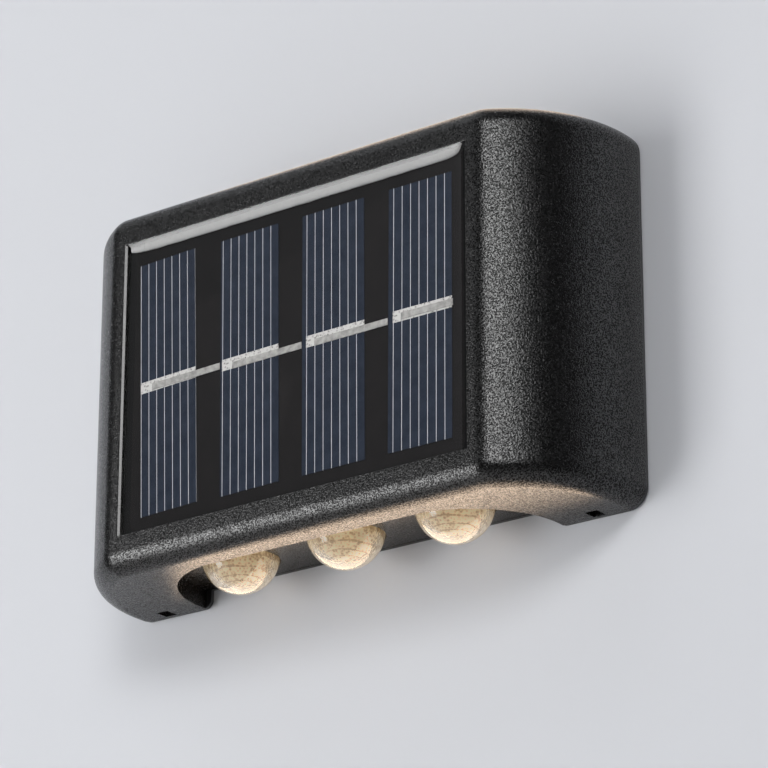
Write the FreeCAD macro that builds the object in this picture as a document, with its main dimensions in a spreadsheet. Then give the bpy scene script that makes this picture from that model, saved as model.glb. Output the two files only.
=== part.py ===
import FreeCAD, Part
import math
import os
from types import SimpleNamespace

import Sketcher

# Solar up-and-down wall light. Millimetres, +X right, +Y into the wall, +Z up.
# The origin is the middle of the back plate's rear face, which lies on the wall.

os.makedirs("parts", exist_ok=True)
doc = FreeCAD.newDocument("wall_light")

# Driving sizes, each written once
driving_sizes = {
    # front housing: how far it stands out past the solar panel, its depth, and its bowed sides, whose arc
    # is centred this far from the wall and would close this far in front of the flat front
    "side_reach": 19.75,
    "edge_reach": 6.75,
    "housing_depth": 28.8,
    "side_centre": 2.4,
    "side_cut": 2.9,
    "wall": 2.0,
    "edge_radius": 4.0,
    "crease_radius": 6.0,
    # light recess in the top and in the bottom
    "recess_inset": 18.0,
    "recess_reach": 21.7,
    "recess_centre": 2.5,
    "recess_cut": 0.2,
    "recess_depth": 3.65,
    # snap windows
    "window_inset": 9.75,
    "window_width": 2.6,
    "window_length": 3.0,
    "window_edge": 1.3,
    # panel recess and solar panel
    "panel_width": 80.0,
    "panel_height": 60.0,
    "panel_gap": 0.3,
    "panel_recess": 3.0,
    "glue_thickness": 0.3,
    "glue_margin": 0.4,
    "glue_width": 2.5,
    "panel_board": 1.2,
    "cell_width": 14.0,
    "cell_margin": 3.4,
    "cell_end_margin": 4.0,
    "cell_thickness": 0.25,
    "cell_drop": 0.7,
    "ribbon_height": 1.5,
    "ribbon_inset": 2.8,
    "ribbon_thickness": 0.15,
    "resin_thickness": 1.35,
    "resin_bead": 1.1,
    "resin_inset": 0.15,
    # lenses
    "lens_radius": 7.5,
    "lens_wall": 1.4,
    "lens_room": 0.4,
    "lens_rise": 1.05,
    "lens_flange_width": 1.2,
    "lens_flange_thickness": 1.2,
    "lens_gap": 0.15,
    # light boards and their chips
    "light_board_end": 9.05,
    "light_board_width": 15.0,
    "light_board_thickness": 1.0,
    "light_chip_length": 3.5,
    "light_chip_width": 2.8,
    "light_chip_height": 0.8,
    # small screws and their bosses
    "small_boss": 2.4,
    "small_screw": 1.0,
    "small_screw_head": 1.8,
    "small_screw_head_height": 1.1,
    "small_screw_length": 3.4,
    "thread_gap": 0.05,
    "hole_gap": 0.2,
    # back plate
    "plate_lip": 0.8,
    "plate_core": 1.2,
    "plate_reveal": 0.1,
    "plate_gap": 0.15,
    "notch_inset": 1.25,
    "notch_rise": 0.05,
    "notch_corner": 1.7,
    "seal_width": 1.25,
    "hook_width": 5.0,
    "hook_length": 3.5,
    "hook_thickness": 1.3,
    "barb_height": 1.2,
    "barb_length": 1.8,
    "barb_gap": 0.3,
    "barb_slope": 0.9,
    # plate screws
    "screw_inset_x": 1.0,
    "screw_inset_z": 5.5,
    "screw_boss": 3.2,
    "plate_screw": 1.4,
    "plate_screw_head": 2.7,
    "plate_screw_sink": 0.1,
    "plate_screw_length": 11.0,
    # keyholes
    "keyhole_spacing": 60.0,
    "keyhole_level": 5.0,
    "keyhole_entry": 4.0,
    "keyhole_slot": 2.1,
    "keyhole_rise": 8.0,
    "pocket_depth": 4.5,
    "pocket_wall": 1.2,
    "pocket_gap": 0.4,
    "pocket_corner": 3.0,
    # main circuit board
    "main_board_length": 46.0,
    "main_board_height": 24.0,
    "main_board_thickness": 1.2,
    "main_board_depth": 15.0,
    "main_boss_inset": 4.0,
    # push switch
    "button_radius": 3.0,
    "button_collar": 3.8,
    "button_length": 8.0,
    "button_recess": 0.3,
    "button_edge": 0.6,
    "button_travel": 1.5,
    "slide_gap": 0.3,
    "switch_width": 11.0,
    "switch_corner": 0.8,
    "dome_top": 1.8,
    "dome_base": 3.0,
    "dome_flange": 3.7,
    "dome_wall": 0.3,
    "dome_gap": 0.05,
    "switch_seal": 1.2,
    "switch_seal_radius": 5.2,
    # battery and holder
    "battery_radius": 7.1,
    "battery_length": 48.5,
    "battery_nub": 2.75,
    "battery_nub_length": 1.5,
    "holder_wall": 1.3,
    "holder_floor": 1.2,
    "holder_height": 11.5,
    "holder_gap": 0.3,
    "finger_notch_length": 26.0,
    "finger_notch_depth": 5.0,
    "spring_room": 3.0,
    "tape_thickness": 0.8,
    "tape_margin": 2.0,
    "contact_thickness": 0.4,
    "contact_width": 7.0,
    "contact_tab": 1.7,
    # parts on the main board
    "chip_length": 5.0,
    "chip_width": 4.0,
    "chip_height": 1.5,
    "coil_radius": 2.6,
    "coil_height": 5.0,
    "capacitor_radius": 2.5,
    "capacitor_height": 6.5,
    # wires
    "wire_radius": 0.6,
    "wire_spacing": 2.2,
    "wire_bend": 1.5,
    "wire_hole": 2.2,
    "wire_lift": 2.4,
    "wire_drop": 3.8,
    "battery_wire_lift": 1.6,
    "battery_wire_step": 5.0,
    # how far a cut runs past the face it starts from
    "overrun": 1.0,
}

cell_count = 4
full_turn = 360
# the lenses' spacing, as a share of the recess's width
lens_pitch_share = 0.2988
# how the free height between the light boards is shared out above the main board and below the battery
free_height_shares = (19 / 71, 23 / 71)
# places of the parts on the main board, as shares of its length and height from its middle
part_place_share = 0.25
# how far the middle of a wire's bend lies from its corner, as a share of the bend
bend_middle_share = 1 - math.sqrt(0.5)
# two edges or faces closer than this are the same
same_place = 1e-4

directions = {
    "x": (1, 0, 0), "y": (0, 1, 0), "z": (0, 0, 1),
    "-x": (-1, 0, 0), "-y": (0, -1, 0), "-z": (0, 0, -1),
}


class Length:
    # a number together with the sheet expression that gives it

    def __init__(self, value, text):
        self.value = value
        self.text = text

    def __add__(self, other):
        other = as_length(other)
        return Length(self.value + other.value, "(%s + %s)" % (self.text, other.text))

    def __sub__(self, other):
        other = as_length(other)
        return Length(self.value - other.value, "(%s - %s)" % (self.text, other.text))

    def __mul__(self, other):
        other = as_length(other)
        return Length(self.value * other.value, "(%s * %s)" % (self.text, other.text))

    def __truediv__(self, other):
        other = as_length(other)
        return Length(self.value / other.value, "(%s / %s)" % (self.text, other.text))

    def __neg__(self):
        return Length(-self.value, "(0 - %s)" % self.text)

    __rmul__ = __mul__

    def __radd__(self, other):
        return as_length(other) + self

    def __rsub__(self, other):
        return as_length(other) - self


def as_length(number):
    if isinstance(number, Length):
        return number
    return Length(float(number), repr(number) if number >= 0 else "(0 - %r)" % -number)


def root(square):
    return Length(math.sqrt(square.value), "sqrt(%s)" % square.text)


# The sheet of driving sizes, and the same sizes by name for the code below
sheet = doc.addObject("Spreadsheet::Sheet", "Sizes")
for row, (name, number) in enumerate(driving_sizes.items(), start=1):
    sheet.set("A%d" % row, name)
    sheet.set("B%d" % row, str(number))
    sheet.setAlias("B%d" % row, name)
doc.recompute()
size = SimpleNamespace(**{name: Length(number, "Sizes." + name) for name, number in driving_sizes.items()})

nodes = []


def bind(item, prop, length):
    item.setExpression(prop, as_length(length).text)


def place(item, x=0, y=0, z=0):
    for axis, distance in (("x", x), ("y", y), ("z", z)):
        if not isinstance(distance, Length) and distance == 0:
            continue
        bind(item, "Placement.Base." + axis, distance)


def keep(item, label):
    item.Label = label
    nodes.append(item)
    return item


# Sketches: every point and radius is bound to the sheet

def new_body(label):
    body = doc.addObject("PartDesign::Body", label)
    return keep(body, label)


def new_sketch(body, name, role, offset=None):
    sketch = body.newObject("Sketcher::SketchObject", name)
    plane = [item for item in body.Origin.OriginFeatures if item.Role == role][0]
    sketch.AttachmentSupport = [(plane, "")]
    sketch.MapMode = "FlatFace"
    if offset is not None:
        bind(sketch, "AttachmentOffset.Base.z", offset)
    return sketch


def fix(sketch, kind, places, length):
    index = sketch.addConstraint(Sketcher.Constraint(kind, *places, length.value))
    sketch.setExpression("Constraints[%d]" % index, length.text)


def fix_point(sketch, curve, end, x, y):
    for kind, distance, axis in (("DistanceX", as_length(x), -2), ("DistanceY", as_length(y), -1)):
        if abs(distance.value) < 1e-9:
            sketch.addConstraint(Sketcher.Constraint("PointOnObject", curve, end, axis))
        else:
            fix(sketch, kind, (-1, 1, curve, end), distance)


def draw_outline(sketch, points):
    # each point is (x, y) or (x, y, radius, side); the radius belongs to the arc that leaves the point,
    # whose centre is on the left of the way for side 1 and on the right for side -1
    ends = []
    for index, point in enumerate(points):
        following = points[(index + 1) % len(points)]
        start = FreeCAD.Vector(as_length(point[0]).value, as_length(point[1]).value, 0)
        stop = FreeCAD.Vector(as_length(following[0]).value, as_length(following[1]).value, 0)
        if len(point) == 2:
            curve = sketch.addGeometry(Part.LineSegment(start, stop), False)
            ends.append((curve, 1, 2))
            continue
        radius, side = point[2], point[3]
        chord = stop - start
        rise = math.sqrt(max(radius.value ** 2 - (chord.Length / 2) ** 2, 0))
        left = FreeCAD.Vector(-chord.y, chord.x, 0).normalize()
        centre = (start + stop) / 2 + left * rise * side
        first, last = (start, stop) if side > 0 else (stop, start)
        first_angle = math.atan2(first.y - centre.y, first.x - centre.x)
        last_angle = math.atan2(last.y - centre.y, last.x - centre.x)
        circle = Part.Circle(centre, FreeCAD.Vector(0, 0, 1), radius.value)
        curve = sketch.addGeometry(Part.ArcOfCircle(circle, first_angle, last_angle), False)
        ends.append((curve, 1, 2) if side > 0 else (curve, 2, 1))
    for index, (curve, start, stop) in enumerate(ends):
        following, follow_start, follow_stop = ends[(index + 1) % len(ends)]
        sketch.addConstraint(Sketcher.Constraint("Coincident", curve, stop, following, follow_start))
    for point, (curve, start, stop) in zip(points, ends):
        fix_point(sketch, curve, start, point[0], point[1])
        if len(point) == 4:
            fix(sketch, "Radius", (curve,), point[2])


def draw_circle(sketch, x, y, radius):
    centre = FreeCAD.Vector(as_length(x).value, as_length(y).value, 0)
    curve = sketch.addGeometry(Part.Circle(centre, FreeCAD.Vector(0, 0, 1), radius.value), False)
    fix_point(sketch, curve, 3, x, y)
    fix(sketch, "Radius", (curve,), radius)


def draw_rectangle(sketch, x, y, width, height):
    left, right = x - width / 2, x + width / 2
    low, high = y - height / 2, y + height / 2
    draw_outline(sketch, [(left, low), (right, low), (right, high), (left, high)])


def draw_arched(sketch, width, depth, radius, centre, rear):
    # plan of the housing and of its recesses: a flat front and two bowed sides that end at the wall
    middle = width / 2 - radius
    front = middle + root(radius * radius - (depth - centre) * (depth - centre))
    back = middle + root(radius * radius - (centre - rear) * (centre - rear))
    draw_outline(sketch, [
        (-front, -depth),
        (front, -depth, radius, 1),
        (back, -rear),
        (-back, -rear, radius, 1),
    ])


def feature(body, kind, name, sketch, length, reverse=False, both_ways=False):
    item = body.newObject("PartDesign::" + kind, name)
    item.Profile = sketch
    bind(item, "Length", length)
    item.Reversed = reverse
    item.Midplane = both_ways
    sketch.Visibility = False
    return item


def pad(body, name, sketch, length, **ways):
    return feature(body, "Pad", name, sketch, length, **ways)


def pocket(body, name, sketch, length, **ways):
    doc.recompute()
    before = body.Shape.Volume
    item = feature(body, "Pocket", name, sketch, length, **ways)
    doc.recompute()
    if body.Shape.Volume >= before:
        raise RuntimeError("%s cut nothing from %s" % (name, body.Label))
    return item


def revolve(body, name, sketch):
    item = body.newObject("PartDesign::Revolution", name)
    item.Profile = sketch
    item.ReferenceAxis = (sketch, ["V_Axis"])
    item.Angle = full_turn
    sketch.Visibility = False
    return item


def treat_edges(body, kind, name, prop, reach, chosen):
    doc.recompute()
    base = body.Tip
    names = ["Edge%d" % number for number, edge in enumerate(base.Shape.Edges, start=1) if chosen(edge)]
    item = body.newObject("PartDesign::" + kind, name)
    item.Base = (base, names)
    bind(item, prop, reach)
    doc.recompute()
    return item


def round_edges(body, name, radius, chosen):
    return treat_edges(body, "Fillet", name, "Radius", radius, chosen)


def bevel_edges(body, name, reach, chosen):
    return treat_edges(body, "Chamfer", name, "Size", reach, chosen)


def lies_at(edge, axis, length):
    # true where both ends of the edge lie at this place along the axis
    ends = [getattr(vertex.Point, axis) for vertex in edge.Vertexes]
    return all(abs(end - as_length(length).value) < same_place for end in ends)


def is_level(edge):
    return lies_at(edge, "z", edge.Vertexes[0].Z)


def is_round(edge, radius):
    return isinstance(edge.Curve, Part.Circle) and abs(edge.Curve.Radius - radius.value) < same_place


# Plain solids, also bound to the sheet

def box(name, width, depth, height, x=0, y=0, z=0):
    # centred on x and z; y is the face nearest the room
    item = doc.addObject("Part::Box", name)
    bind(item, "Length", width)
    bind(item, "Width", depth)
    bind(item, "Height", height)
    place(item, x - width / 2, y, z - height / 2)
    return item


def cylinder(name, radius, height, x=0, y=0, z=0, way="z"):
    item = doc.addObject("Part::Cylinder", name)
    bind(item, "Radius", radius)
    bind(item, "Height", height)
    turn(item, way)
    place(item, x, y, z)
    return item


def turn(item, way):
    # point the item's own Z axis the given way
    upright, aim = FreeCAD.Vector(*directions["z"]), FreeCAD.Vector(*directions[way])
    item.Placement = FreeCAD.Placement(FreeCAD.Vector(), FreeCAD.Rotation(upright, aim))


def join(name, items):
    item = doc.addObject("Part::MultiFuse", name)
    item.Shapes = items
    return item


def group(label, items):
    # several separate solids in one node
    item = doc.addObject("Part::Compound", label)
    item.Links = items
    return keep(item, label)


def shifted(x, y, z, way, length):
    # the place this far along the way
    step = directions[way]
    return x + step[0] * length, y + step[1] * length, z + step[2] * length


# Places that several pieces share

housing_width = size.panel_width + 2 * size.side_reach
housing_height = size.panel_height + 2 * size.edge_reach
half_height = housing_height / 2
half_width = housing_width / 2
side_radius = size.housing_depth + size.side_cut - size.side_centre
recess_width = housing_width - 2 * size.recess_inset
recess_radius = size.recess_reach + size.recess_cut - size.recess_centre
floor_depth = size.housing_depth - size.panel_recess - size.wall
ceiling_level = half_height - size.recess_depth
seat_level = ceiling_level - size.wall
board_level = seat_level - size.lens_flange_thickness
board_back_level = board_level - size.light_board_thickness
dome_level = ceiling_level - size.lens_rise
core_depth = size.plate_lip + size.plate_core
core_edge = size.plate_gap + size.seal_width
screw_places = [(way_x * (size.panel_width / 2 - size.screw_inset_x),
                 way_z * (size.panel_height / 2 - size.screw_inset_z))
                for way_x in (-1, 1) for way_z in (-1, 1)]
window_places = [way * (half_width - size.window_inset) for way in (-1, 1)]
hook_places = [(x, way_z) for x in window_places for way_z in (-1, 1)]
keyhole_places = [way * size.keyhole_spacing / 2 for way in (-1, 1)]
lens_names = ["left", "middle", "right"]
lens_pitch = recess_width * lens_pitch_share
lens_flange = size.lens_radius + size.lens_flange_width
lens_reach = core_depth + size.lens_room + lens_flange
lens_places = [lens_pitch * (number - (len(lens_names) - 1) / 2) for number in range(len(lens_names))]
light_screw_places = [way * lens_pitch / 2 for way in (-1, 1)]
light_board_length = 2 * (lens_pitch + size.light_board_end)
cell_height = size.panel_height - 2 * size.cell_end_margin
cell_pitch = (size.panel_width - 2 * size.cell_margin - size.cell_width) / (cell_count - 1)
cell_places = [cell_pitch * (number - (cell_count - 1) / 2) for number in range(cell_count)]

# the main board and the battery holder share the height between the light boards' screw heads
head_level = board_back_level - size.small_screw_head_height
holder_half = size.battery_radius + size.holder_gap + size.holder_wall
free_height = 2 * (head_level - holder_half) - size.main_board_height
main_board_level = head_level - free_height * free_height_shares[0] - size.main_board_height / 2
battery_level = holder_half + free_height * free_height_shares[1] - head_level
main_board_high = main_board_level + size.main_board_height / 2 - size.wire_spacing
main_board_low = main_board_level - size.main_board_height / 2 + size.wire_spacing
main_board_back = size.main_board_depth - size.main_board_thickness
main_boss_places = [way * (size.main_board_length / 2 - size.main_boss_inset) for way in (-1, 1)]
wire_hole_level = main_board_high - size.wire_drop
glue_depth = size.housing_depth - size.panel_recess
board_depth = glue_depth + size.glue_thickness
cell_depth = board_depth + size.panel_board
ribbon_depth = cell_depth + size.cell_thickness
switch_depth = core_depth + size.switch_seal
tape_depth = floor_depth - size.tape_thickness
switch_bed = size.button_recess + size.button_length + size.button_travel + size.slide_gap
holder_bed = tape_depth - size.holder_floor
holder_top = tape_depth - size.holder_height
battery_depth = holder_bed - size.holder_gap - size.battery_radius
holder_low = -(size.battery_length / 2 + size.spring_room)
holder_high = size.battery_length / 2 + size.battery_nub_length + size.contact_thickness
contact_end = holder_top - size.contact_tab
sides = ((1, "top"), (-1, "bottom"))


def arched(sketch, inset):
    draw_arched(sketch, housing_width - 2 * inset, size.housing_depth - inset,
                side_radius - inset, size.side_centre, size.plate_lip)


def arched_recess(sketch, growth):
    draw_arched(sketch, recess_width + 2 * growth, size.recess_reach + growth,
                recess_radius + growth, size.recess_centre, size.plate_lip)


def ribbon_ends(number):
    # a ribbon starts on its cell and runs to the next one; the last stops at its cell's edge
    start = cell_places[number] - size.cell_width / 2 + size.ribbon_inset
    if number == cell_count - 1:
        return start, cell_places[number] + size.cell_width / 2
    return start, cell_places[number + 1] - size.cell_width / 2


# Front housing: a moulded shell with a panel tray in front and a light recess at the top and bottom

def make_front_housing():
    body = new_body("front_housing")
    make_shell(body)
    for way, side in sides:
        light_recess(body, way, side)
    housing_openings(body)
    face_bosses(body, "screw", core_depth, screw_places, size.screw_boss, size.plate_screw,
                size.plate_screw_length)
    face_bosses(body, "main", size.main_board_depth, [(x, main_board_level) for x in main_boss_places],
                size.small_boss, size.small_screw, size.small_screw_length)
    for way, side in sides:
        light_bosses(body, way, side)


def make_shell(body):
    shell = new_sketch(body, "shell_plan", "XY_Plane")
    arched(shell, 0)
    pad(body, "shell", shell, housing_height, both_ways=True)
    round_edges(body, "front_creases", size.crease_radius,
                lambda edge: lies_at(edge, "y", -size.housing_depth) and not is_level(edge))
    round_edges(body, "outer_edges", size.edge_radius,
                lambda edge: is_level(edge) and not lies_at(edge, "y", -size.plate_lip))
    hollow = new_sketch(body, "hollow_plan", "XY_Plane")
    arched(hollow, size.wall)
    pocket(body, "hollow", hollow, housing_height - 2 * size.wall, both_ways=True)

    # the panel's tray starts inside the front wall and ends behind the panel recess
    tray = new_sketch(body, "tray_outline", "XZ_Plane", size.housing_depth - size.wall / 2)
    draw_rectangle(tray, 0, 0, size.panel_width + 2 * size.panel_gap + 2 * size.wall,
                   size.panel_height + 2 * size.panel_gap + 2 * size.wall)
    pad(body, "tray", tray, size.housing_depth - size.wall / 2 - floor_depth, reverse=True)


def light_recess(body, way, side):
    # a block inside the shell, with the recess cut into it from outside
    block = new_sketch(body, side + "_block_plan", "XY_Plane", way * seat_level)
    arched_recess(block, size.wall)
    pad(body, side + "_block", block, size.recess_depth + size.wall / 2, reverse=way < 0)
    recess = new_sketch(body, side + "_recess_plan", "XY_Plane", way * half_height)
    arched_recess(recess, 0)
    pocket(body, side + "_recess", recess, size.recess_depth, reverse=way < 0)


def housing_openings(body):
    holes = new_sketch(body, "lens_holes_plan", "XY_Plane")
    for x in lens_places:
        draw_circle(holes, x, -lens_reach, size.lens_radius + size.lens_gap)
    pocket(body, "lens_holes", holes, housing_height, both_ways=True)
    windows = new_sketch(body, "windows_plan", "XY_Plane")
    for x in window_places:
        draw_rectangle(windows, x, -size.window_edge - size.window_length / 2,
                       size.window_width, size.window_length)
    pocket(body, "snap_windows", windows, housing_height + 2 * size.overrun, both_ways=True)
    panel = new_sketch(body, "panel_outline", "XZ_Plane", size.housing_depth)
    draw_rectangle(panel, 0, 0, size.panel_width + 2 * size.panel_gap, size.panel_height + 2 * size.panel_gap)
    pocket(body, "panel_recess_cut", panel, size.panel_recess)
    wires = new_sketch(body, "wire_hole_outline", "XZ_Plane", size.housing_depth)
    draw_circle(wires, 0, wire_hole_level, size.wire_hole)
    pocket(body, "wire_hole_cut", wires, size.panel_recess + size.wall + size.overrun)


def face_bosses(body, name, depth, places, radius, screw, reach):
    # bosses that stand on the tray floor and end at this depth from the wall
    bosses = new_sketch(body, name + "_bosses_outline", "XZ_Plane", depth)
    pilots = new_sketch(body, name + "_pilots_outline", "XZ_Plane", depth)
    for x, z in places:
        draw_circle(bosses, x, z, radius)
        draw_circle(pilots, x, z, screw + size.thread_gap)
    pad(body, name + "_bosses", bosses, floor_depth + size.wall / 2 - depth)
    pocket(body, name + "_pilots", pilots, reach, reverse=True)


def light_bosses(body, way, side):
    # bosses on the recess ceiling that the light board is screwed to
    bosses = new_sketch(body, side + "_light_bosses_plan", "XY_Plane", way * board_level)
    pilots = new_sketch(body, side + "_light_pilots_plan", "XY_Plane", way * board_level)
    for x in light_screw_places:
        draw_circle(bosses, x, -lens_reach, size.small_boss)
        draw_circle(pilots, x, -lens_reach, size.small_screw + size.thread_gap)
    pad(body, side + "_light_bosses", bosses, size.lens_flange_thickness + size.wall / 2, reverse=way < 0)
    pocket(body, side + "_light_pilots", pilots,
           size.small_screw_length - size.light_board_thickness + size.hole_gap, reverse=way > 0)


# Back plate: a thin lip on the wall, a core inside the housing, hooks, keyholes with closed pockets

def plate_lip_outline(sketch):
    wide, high = half_width - size.plate_reveal, half_height - size.plate_reveal
    notch, level = recess_width / 2 - size.notch_inset, ceiling_level + size.notch_rise
    corner, small = size.edge_radius, size.notch_corner
    draw_outline(sketch, [
        (corner - wide, -high), (-notch - small, -high, small, 1),
        (-notch, small - high), (-notch, -level), (notch, -level), (notch, small - high, small, 1),
        (notch + small, -high), (wide - corner, -high, corner, 1),
        (wide, corner - high), (wide, high - corner, corner, 1),
        (wide - corner, high), (notch + small, high, small, 1),
        (notch, high - small), (notch, level), (-notch, level), (-notch, high - small, small, 1),
        (-notch - small, high), (corner - wide, high, corner, 1),
        (-wide, high - corner), (-wide, corner - high, corner, 1),
    ])


def inside_outline(sketch, inset):
    # the housing's rear opening, which goes round the two recess blocks, drawn in by the inset
    wide = half_width - size.wall - inset
    high = half_height - size.wall - inset
    block = recess_width / 2 + size.wall + inset
    level = seat_level - inset
    draw_outline(sketch, [
        (-wide, -high), (-block, -high), (-block, -level), (block, -level), (block, -high), (wide, -high),
        (wide, high), (block, high), (block, level), (-block, level), (-block, high), (-wide, high),
    ])


def draw_rounded(sketch, x, y, width, height, corner):
    left, right = x - width / 2, x + width / 2
    low, high = y - height / 2, y + height / 2
    draw_outline(sketch, [
        (left + corner, low), (right - corner, low, corner, 1), (right, low + corner),
        (right, high - corner, corner, 1), (right - corner, high), (left + corner, high, corner, 1),
        (left, high - corner), (left, low + corner, corner, 1),
    ])


def make_back_plate():
    body = new_body("back_plate")
    lip = new_sketch(body, "lip_outline", "XZ_Plane")
    plate_lip_outline(lip)
    pad(body, "lip", lip, size.plate_lip)
    core = new_sketch(body, "core_outline", "XZ_Plane", size.plate_lip)
    inside_outline(core, core_edge)
    pad(body, "core", core, size.plate_core)
    snap_hooks(body)
    keyholes(body)
    plate_holes(body)


def snap_hooks(body):
    # a tab on the core, and a barb that reaches into the housing's window
    tab_level = half_height - size.wall - core_edge - size.hook_thickness / 2
    barb_level = half_height - size.wall + size.barb_height
    barb_end = core_depth + size.barb_gap + size.barb_length
    tabs = new_sketch(body, "tabs_outline", "XZ_Plane", core_depth)
    barbs = new_sketch(body, "barbs_outline", "XZ_Plane", core_depth + size.barb_gap)
    for x, way in hook_places:
        draw_rectangle(tabs, x, way * tab_level, size.hook_width, size.hook_thickness)
        draw_rectangle(barbs, x, way * (tab_level + barb_level) / 2, size.window_width - 2 * size.barb_gap,
                       barb_level - tab_level)
    pad(body, "tabs", tabs, size.hook_length)
    pad(body, "barbs", barbs, size.barb_length)
    bevel_edges(body, "barb_slopes", size.barb_slope,
                lambda edge: lies_at(edge, "y", -barb_end) and is_level(edge)
                and abs(abs(edge.Vertexes[0].Z) - barb_level.value) < same_place)


def keyholes(body):
    # each has a closed pocket behind it that keeps the wall screw's head out of the dry space
    pockets = new_sketch(body, "pockets_outline", "XZ_Plane", core_depth)
    rooms = new_sketch(body, "rooms_outline", "XZ_Plane", core_depth)
    entries = new_sketch(body, "entries_outline", "XZ_Plane")
    slots = new_sketch(body, "slots_outline", "XZ_Plane")
    ends = new_sketch(body, "slot_ends_outline", "XZ_Plane")
    room_level = size.keyhole_level + size.keyhole_rise / 2
    room_width = 2 * (size.keyhole_entry + size.pocket_gap)
    room_height = size.keyhole_rise + room_width
    for x in keyhole_places:
        draw_rounded(pockets, x, room_level, room_width + 2 * size.pocket_wall,
                     room_height + 2 * size.pocket_wall, size.pocket_corner + size.pocket_wall)
        draw_rounded(rooms, x, room_level, room_width, room_height, size.pocket_corner)
        draw_circle(entries, x, size.keyhole_level, size.keyhole_entry)
        draw_rectangle(slots, x, room_level, 2 * size.keyhole_slot, size.keyhole_rise)
        draw_circle(ends, x, size.keyhole_level + size.keyhole_rise, size.keyhole_slot)
    pad(body, "pockets", pockets, size.pocket_depth)
    pocket(body, "rooms", rooms, size.pocket_depth - size.pocket_wall, reverse=True)
    for name, sketch in (("entries", entries), ("slots", slots), ("slot_ends", ends)):
        pocket(body, name, sketch, core_depth, reverse=True)


def plate_holes(body):
    hole = size.plate_screw + size.hole_gap
    holes = new_sketch(body, "screw_holes_outline", "XZ_Plane")
    for x, z in screw_places:
        draw_circle(holes, x, z, hole)
    pocket(body, "screw_holes", holes, core_depth, reverse=True)
    bevel_edges(body, "countersinks", size.plate_screw_head - size.plate_screw,
                lambda edge: lies_at(edge, "y", 0) and is_round(edge, hole))
    button = new_sketch(body, "button_hole_outline", "XZ_Plane")
    draw_circle(button, 0, main_board_level, size.button_radius + size.slide_gap)
    pocket(body, "button_hole", button, core_depth, reverse=True)


def make_plate_seal():
    body = new_body("plate_seal")
    ring = new_sketch(body, "seal_outline", "XZ_Plane", size.plate_lip)
    inside_outline(ring, size.plate_gap)
    inside_outline(ring, core_edge)
    pad(body, "seal", ring, size.plate_core)


def screw(name, x, y, z, way, head_radius, head_height, radius, length, flat_head=False):
    # the place is the top of the head, and the way is the one that the thread points
    if flat_head:
        head = doc.addObject("Part::Cone", name + "_head")
        bind(head, "Radius1", head_radius)
        bind(head, "Radius2", radius)
        bind(head, "Height", head_height)
        turn(head, way)
        place(head, x, y, z)
    else:
        head = cylinder(name + "_head", head_radius, head_height, x, y, z, way)
    start = shifted(x, y, z, way, head_height)
    shaft = cylinder(name + "_shaft", radius, length, *start, way)
    return join(name, [head, shaft])


def make_plate_screws():
    sink = size.plate_screw_head - size.plate_screw
    group("plate_screws", [
        screw("plate_screw_%d" % number, x, -size.plate_screw_sink, z, "-y", size.plate_screw_head, sink,
              size.plate_screw, size.plate_screw_length - sink, flat_head=True)
        for number, (x, z) in enumerate(screw_places, start=1)])


# Solar panel: glue, board, cells with their ribbons, and the clear resin over them

def make_panel_board():
    body = new_body("panel_glue")
    ring = new_sketch(body, "glue_outline", "XZ_Plane", glue_depth)
    wide, high = size.panel_width - 2 * size.glue_margin, size.panel_height - 2 * size.glue_margin
    draw_rectangle(ring, 0, 0, wide, high)
    draw_rectangle(ring, 0, 0, wide - 2 * size.glue_width, high - 2 * size.glue_width)
    pad(body, "glue", ring, size.glue_thickness)

    body = new_body("solar_panel_board")
    board = new_sketch(body, "board_outline", "XZ_Plane", board_depth)
    draw_rectangle(board, 0, 0, size.panel_width, size.panel_height)
    pad(body, "board", board, size.panel_board)


def make_cells():
    for number, x in enumerate(cell_places, start=1):
        cell = box("solar_cell_%d" % number, size.cell_width, size.cell_thickness, cell_height,
                   x, -ribbon_depth, -size.cell_drop)
        keep(cell, "solar_cell_%d" % number)
    ribbons = []
    for number in range(cell_count):
        start, end = ribbon_ends(number)
        ribbons.append(box("ribbon_%d" % (number + 1), end - start, size.ribbon_thickness, size.ribbon_height,
                           (start + end) / 2, -(ribbon_depth + size.ribbon_thickness), -size.cell_drop))
    group("cell_ribbons", ribbons)


def make_panel_resin():
    body = new_body("panel_resin")
    outline = new_sketch(body, "resin_outline", "XZ_Plane", cell_depth)
    draw_rectangle(outline, 0, 0, size.panel_width - 2 * size.resin_inset,
                   size.panel_height - 2 * size.resin_inset)
    pad(body, "resin", outline, size.resin_thickness)
    resin_face = cell_depth + size.resin_thickness
    round_edges(body, "resin_edges", size.resin_bead, lambda edge: lies_at(edge, "y", -resin_face))
    cells = new_sketch(body, "cells_outline", "XZ_Plane", cell_depth)
    ribbons = new_sketch(body, "ribbons_outline", "XZ_Plane", cell_depth)
    for number, x in enumerate(cell_places):
        draw_rectangle(cells, x, -size.cell_drop, size.cell_width, cell_height)
        start, end = ribbon_ends(number)
        draw_rectangle(ribbons, (start + end) / 2, -size.cell_drop, end - start, size.ribbon_height)
    pocket(body, "cell_beds", cells, size.cell_thickness, reverse=True)
    pocket(body, "ribbon_beds", ribbons, size.cell_thickness + size.ribbon_thickness, reverse=True)


# Lenses: hollow domes whose flanges are held between the recess ceiling and the light board

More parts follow.
